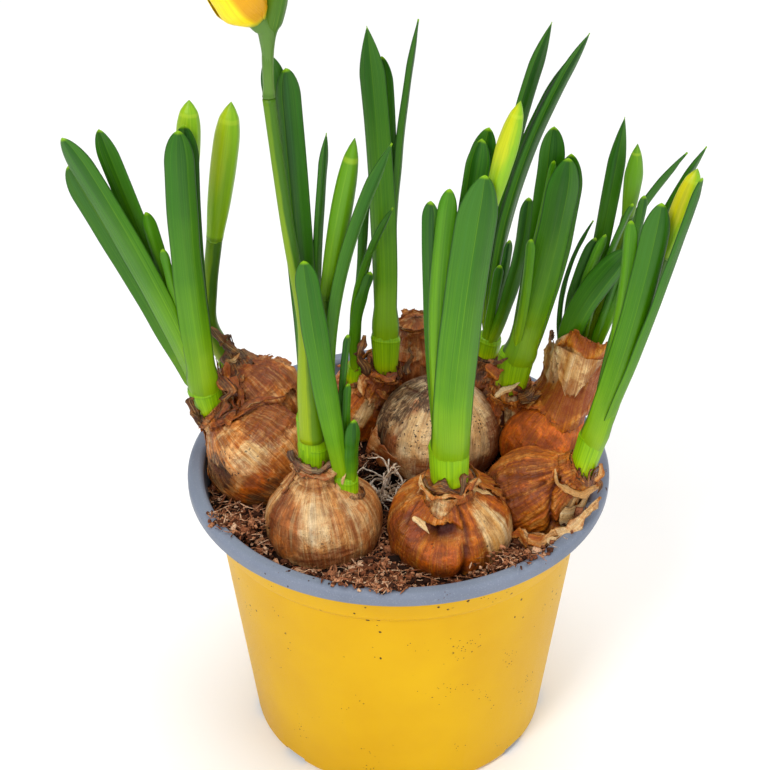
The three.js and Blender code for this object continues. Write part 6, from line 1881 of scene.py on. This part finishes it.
def bulb_material(name, looks):
    deep, mid, pale = looks["shades"]
    hot, furrow = looks.get("hot", (206, 98, 40)), looks.get("furrow", 1)
    n = Nodes("bulb_skin_" + name, 0.45, Specular_IOR_Level=0.45)
    cx, cy, share, seed, paper, edge, fold = n.values("cx", "cy", "share", "seed", "paper", "edge", "fold")
    amounts = dict(zip(TINTS, n.values(*TINTS)))
    dirt, crack = n.values("dirt", "crack")
    place = n.place()

    def round_it(around, up):
        return n.vector((cx, around), (cy, around), n.math("MULTIPLY_ADD", share, up, seed))

    def thin_lines(height, wide):
        return n.near(height, 0.5, 0.0, wide, 1.0, 0.0)

    def tinted(tint, broken, low=0.3, high=0.7):
        """A tint's soft patch, broken up along the streaks and blotches."""
        amount = amounts[tint]
        return n.times(n.span(n.swayed(broken, 1.5, amount), low, high), n.span(amount, 0.02, 0.3), clamp=True)

    streak = n.noise(round_it(*looks.get("streaks", (7.5, 1.5))), 1, 4, 0.56, 0.5)
    fine = n.noise(round_it(44, 6), 1, 4, 0.65, 0.3)
    cross = n.noise(round_it(2.6, 44), 1, 4, 0.65, 0.5)
    mottle = n.noise(place, 0.2, 6, 0.68, 1.0)
    grit = n.noise(place, 0.9, 5, 0.7)
    mesh = n.noise(round_it(13, 8), 1, 4, 0.6, 0.6)
    crinkle = n.noise(place, 0.42, 5, 0.6, 1.4)
    pleat = n.noise(round_it(19, 2.6), 1, 3, 0.6, 0.9)
    leafy = n.wash(
        n.ramp(streak, (0.32, (150, 78, 36)), (0.5, (206, 132, 74)), (0.68, (238, 190, 130))),
        ((mottle, 0.42, 0.58, 0.7, 0.0), (158, 70, 24)),
    )
    cream = n.ramp(streak, (0.3, (210, 158, 102)), (0.5, (234, 198, 148)), (0.7, (248, 226, 186)))
    flame = n.ramp(mottle, (0.38, shade(hot, 0.66)), (0.6, hot))
    # The old outer skin is dark, and breaks up into a net over the paler one below
    net = n.times(thin_lines(mesh, looks.get("net", 0.05)), n.span(mottle, 0.36, 0.5))
    dark = n.ramp(fine, (0.36, (30, 20, 14)), (0.52, (66, 46, 30)), (0.64, (134, 106, 74)))
    lace = n.math("MAXIMUM", n.span(mottle, 0.47, 0.58, 1.0, looks.get("lace", 0.6)), net)
    # Thin dark lines in the crinkles and pleats, and the dark hollows of the cross wrinkles, are painted shade
    creases = n.times(thin_lines(crinkle, 0.022), n.span(grit, 0.4, 0.55))
    furrow_shade = n.times(thin_lines(pleat, 0.035), n.math("MULTIPLY_ADD", amounts["red"], 0.4, 0.28 * furrow))
    ruck_shade = n.times(n.span(cross, 0.38, 0.5, 1.0, 0.0), n.math("MULTIPLY_ADD", amounts["red"], 0.6, 0.12))
    # Small black spots of old tunic and soil
    bent = n.bent(place, 0.7, 1.4)
    specks = n.times(n.dots(bent, 0.42, 0.13, 0.06), n.span(grit, 0.46, 0.52))
    spots = n.times(n.dots(bent, 0.95, 0.24, 0.1), n.span(crinkle, 0.5, 0.55))
    many = n.times(n.math("MAXIMUM", specks, spots), n.span(amounts["speck"], 0.1, 0.6))
    few = n.times(specks, n.span(mottle, 0.56, 0.6, 0.0, 0.9))
    color = n.wash(
        n.ramp(streak, (0.3, deep), (0.5, mid), (0.7, pale)),
        ((mottle, 0.4, 0.54, 0.5, 0.0), deep),
        ((mottle, 0.52, 0.64, 0.0, 0.6), pale),
        (n.times(paper, 0.9), leafy),
        (tinted("cream", mottle, 0.35, 0.85), cream),
        (n.times(tinted("hot", streak), 0.9), flame),
        (n.times(tinted("red", crinkle, 0.35, 0.8), 0.75), (138, 62, 28)),
        (n.times(tinted("dark", mesh, 0.25, 0.6), lace), dark),
        # Folds: painted shade in the hollows and painted highlights on the crests
        ((fold, 0.05, -0.5, 0.0, 0.5), shade(deep, 0.6)),
        ((fold, 0.25, 0.85, 0.0, 0.42), shade(pale, 1.1, 250)),
        ((fine, 0.4, 0.52, 0.26, 0.0), shade(deep, 0.66)),
        ((fine, 0.55, 0.67, 0.0, 0.22), shade(pale, 1.12, 252)),
        # Painted shade in the crinkles, furrows and rucks, and painted highlights on the pleats
        (n.times(creases, 0.5), shade(deep, 0.5)),
        (n.times(furrow_shade, n.span(amounts["hot"], 0, 1, 1, 0.3)), shade(deep, 0.52)),
        ((pleat, 0.57, 0.66, 0.0, 0.16 * furrow), shade(pale, 1.1, 250)),
        (ruck_shade, (104, 48, 24)),
        (n.math("MAXIMUM", many, few), (34, 20, 14)),
        (n.times(edge, n.span(grit, 0.35, 0.6, 0.2, 0.9)), (76, 36, 20)),
        # Soil dust and painted shade near the soil and between the bulbs
        (n.times(dirt, n.span(grit, 0.36, 0.56, 0.85, 0.35), clamp=True), (78, 42, 24)),
        # Painted shade in the creases and under the collars
        (crack, (74, 22, 6)),
    )
    n.rough(mottle, 0.4, 0.6, 0.6, 0.4)
    n.bump((streak, 0.25), (crinkle, 0.5), (fine, 0.25), (cross, 0.18), (grit, 0.25), (pleat, 0.4))
    return n.color(color, looks.get("vivid", 1.15))


def pot_material():
    n = Nodes("pot_plastic", 0.5, Specular_IOR_Level=0.12)
    place = n.place()
    split = n.new("ShaderNodeSeparateXYZ")
    n.put(place, split.inputs[0])
    x, y, z = split.outputs
    radius = n.math("SQRT", n.math("ADD", n.times(x, x), n.times(y, y)))
    # The middle of the wall at this height parts the yellow outside from the grey inside
    half = WALL / 2
    wall = n.span(z, 0, SHOULDER, WALL_RADIUS[0] - half, WALL_RADIUS[1] - half, "LINEAR")
    step = n.span(z, SHOULDER, COLLAR_FOOT, 0, COLLAR_RADIUS[0] - WALL_RADIUS[1], "LINEAR")
    rise = n.span(z, COLLAR_FOOT, RIM_FOOT, 0, COLLAR_RADIUS[1] - COLLAR_RADIUS[0], "LINEAR")
    middle = n.math("ADD", wall, n.math("ADD", step, rise))
    inside = n.times(n.math("LESS_THAN", radius, middle), n.math("GREATER_THAN", z, 0.9))
    in_grey = n.math("MAXIMUM", inside, n.math("GREATER_THAN", z, RIM_FOOT - 0.12))
    cloud = n.noise(place, 0.03, 3)
    grain = n.noise(place, 2.4, 3)
    grey = n.ramp(cloud, (0.3, (112, 120, 136)), (0.7, (128, 136, 152)))
    # Specks of soil, most of them high on the wall
    bent = n.bent(place, 0.5, 1.2)
    crumbs = n.times(n.dots(bent, 0.26, 0.1, 0.03), n.span(n.noise(place, 0.06, 3), 0.52, 0.55))
    color = n.wash(
        n.ramp(cloud, (0.3, (208, 158, 2)), (0.7, (218, 171, 1))),
        ((grain, 0.3, 0.45, 0.12, 0.0), (206, 150, 20)),
        (in_grey, n.wash(grey, ((grain, 0.55, 0.7, 0.0, 0.25), (176, 176, 184)))),
        (n.times(crumbs, n.math("GREATER_THAN", z, 52)), (58, 28, 10)),
        (n.times(n.dots(bent, 0.8, 0.15, 0.04), n.span(n.noise(place, 0.09, 2), 0.6, 0.63)), (84, 44, 16)),
    )
    n.rough(grain, 0.3, 0.7, 0.36, 0.5)
    n.bump((grain, 0.05), (cloud, 0.2))
    return n.color(color)


def soil_material():
    n = Nodes("soil_peat", 0.95, Specular_IOR_Level=0.15)
    grit = n.noise(n.place(), 1.6, 5, 0.7)
    stops = (0, (24, 14, 9)), (0.3, (72, 39, 24)), (0.6, (150, 88, 56)), (0.85, (208, 142, 100)), (1, (242, 200, 162))
    n.bump((grit, 0.6))
    return n.color(n.wash(n.ramp(*n.values("tone"), *stops), ((grit, 0.35, 0.55, 0.7, 0.0), (26, 15, 11))))


def root_material():
    n = Nodes("root_skin", 0.7, Specular_IOR_Level=0.3)
    grit = n.noise(n.place(), 1.2, 4, 0.6)
    stops = (0, (176, 142, 112)), (0.5, (230, 208, 180)), (1, (250, 240, 224))
    n.bump((grit, 0.3))
    return n.color(n.wash(n.ramp(*n.values("tone"), *stops), ((grit, 0.4, 0.6, 0.45, 0.0), (96, 60, 40))))


def petal_material(name, low, high, vein):
    scatter = {"Subsurface_Weight": 0.15, "Subsurface_Radius": (0.002, 0.0014, 0.0004)}
    n = Nodes(name, 0.45, Specular_IOR_Level=0.35, **scatter)
    run, across, seed, warm = n.values("along", "across", "seed", "warm")
    veins = n.noise(n.vector((across, 14), (run, 1.5), seed), 1, 3)
    past_foot = n.span(run, 0.02, 0.12)
    color = n.wash(
        n.ramp(run, (0, low), (0.12, high), (1, high)),
        (n.times(warm, past_foot), vein),
        (n.times(n.span(veins, 0.4, 0.58, 0.25, 0.0), past_foot), vein),
    )
    n.bump((veins, 0.2))
    return n.color(color)


def stage():
    """A plain pale floor, soft studio light and the camera."""
    floor = bpy.data.meshes.new("floor")
    reach = FLOOR_REACH
    corners = [(-reach, -reach, 0), (reach, -reach, 0), (reach, reach, 0), (-reach, reach, 0)]
    floor.from_pydata(corners, [], [(0, 1, 2, 3)])
    floor.materials.append(Nodes("floor_plain", 0.9, Base_Color=(0.98, 0.98, 0.98, 1)).material)
    obj = linked("floor", floor)

    world = bpy.data.worlds.new("studio")
    bpy.context.scene.world = world
    world.use_nodes = True
    background = world.node_tree.nodes["Background"].inputs
    background["Color"].default_value = (1, 1, 1, 1)
    background["Strength"].default_value = WORLD_LIGHT

    sky = bpy.data.lights.new("sky", "SUN")
    sky.energy, sky.angle = SKY_LIGHT, math.radians(SKY_SIZE)
    linked("sky", sky).rotation_euler = [math.radians(turn) for turn in SKY_TILT]
    for name, place, target, size, power in LIGHTS:
        data = bpy.data.lights.new(name, "AREA")
        data.shape, data.size, data.energy = "DISK", size, power
        light = linked(name, data)
        light.location = place
        light.rotation_euler = (Vector(target) - Vector(place)).to_track_quat("-Z", "Y").to_euler()

    data = bpy.data.cameras.new("camera")
    data.sensor_width, data.lens, data.clip_end = SENSOR_WIDTH, CAMERA_LENS, FAR_CLIP
    camera = linked("camera", data)
    turn = Matrix([CAMERA_RIGHT, CAMERA_UP, [-way for way in CAMERA_FORWARD]]).transposed()
    camera.matrix_world = Matrix.Translation(CAMERA_PLACE) @ turn.to_4x4()
    bpy.context.scene.camera = camera
    bpy.context.scene.view_settings.view_transform = "Standard"


def main():
    stage()
    greens = greens_material()
    buds = bud_material("bud_skin", (134, 178, 8), (132, 182, 14), (112, 158, 28))
    dark_buds = bud_material("bud_skin_green", (104, 152, 4), (92, 146, 8), (84, 128, 24))
    for name, shoot in SHOOTS.items():
        shoot_piece(name, shoot, greens)
        if "bud" in shoot:
            bud_piece(name, shoot, dark_buds if name in ("right", "front_left") else buds)
    for name in BULBS:
        bulb_piece(name)
    pot_piece(pot_material())
    peat = soil_material()
    soil_piece(peat)
    crumbs_piece(peat)
    roots_piece(root_material())
    tepals_piece(petal_material("petal_yellow", (84, 122, 42), (244, 220, 4), (214, 154, 0)))
    corona_piece(petal_material("trumpet_orange", (230, 180, 12), (238, 160, 10), (214, 120, 4)))
    spathe_piece(bud_material("hood_skin", (84, 122, 40), (58, 102, 6), (120, 146, 50)))


main()
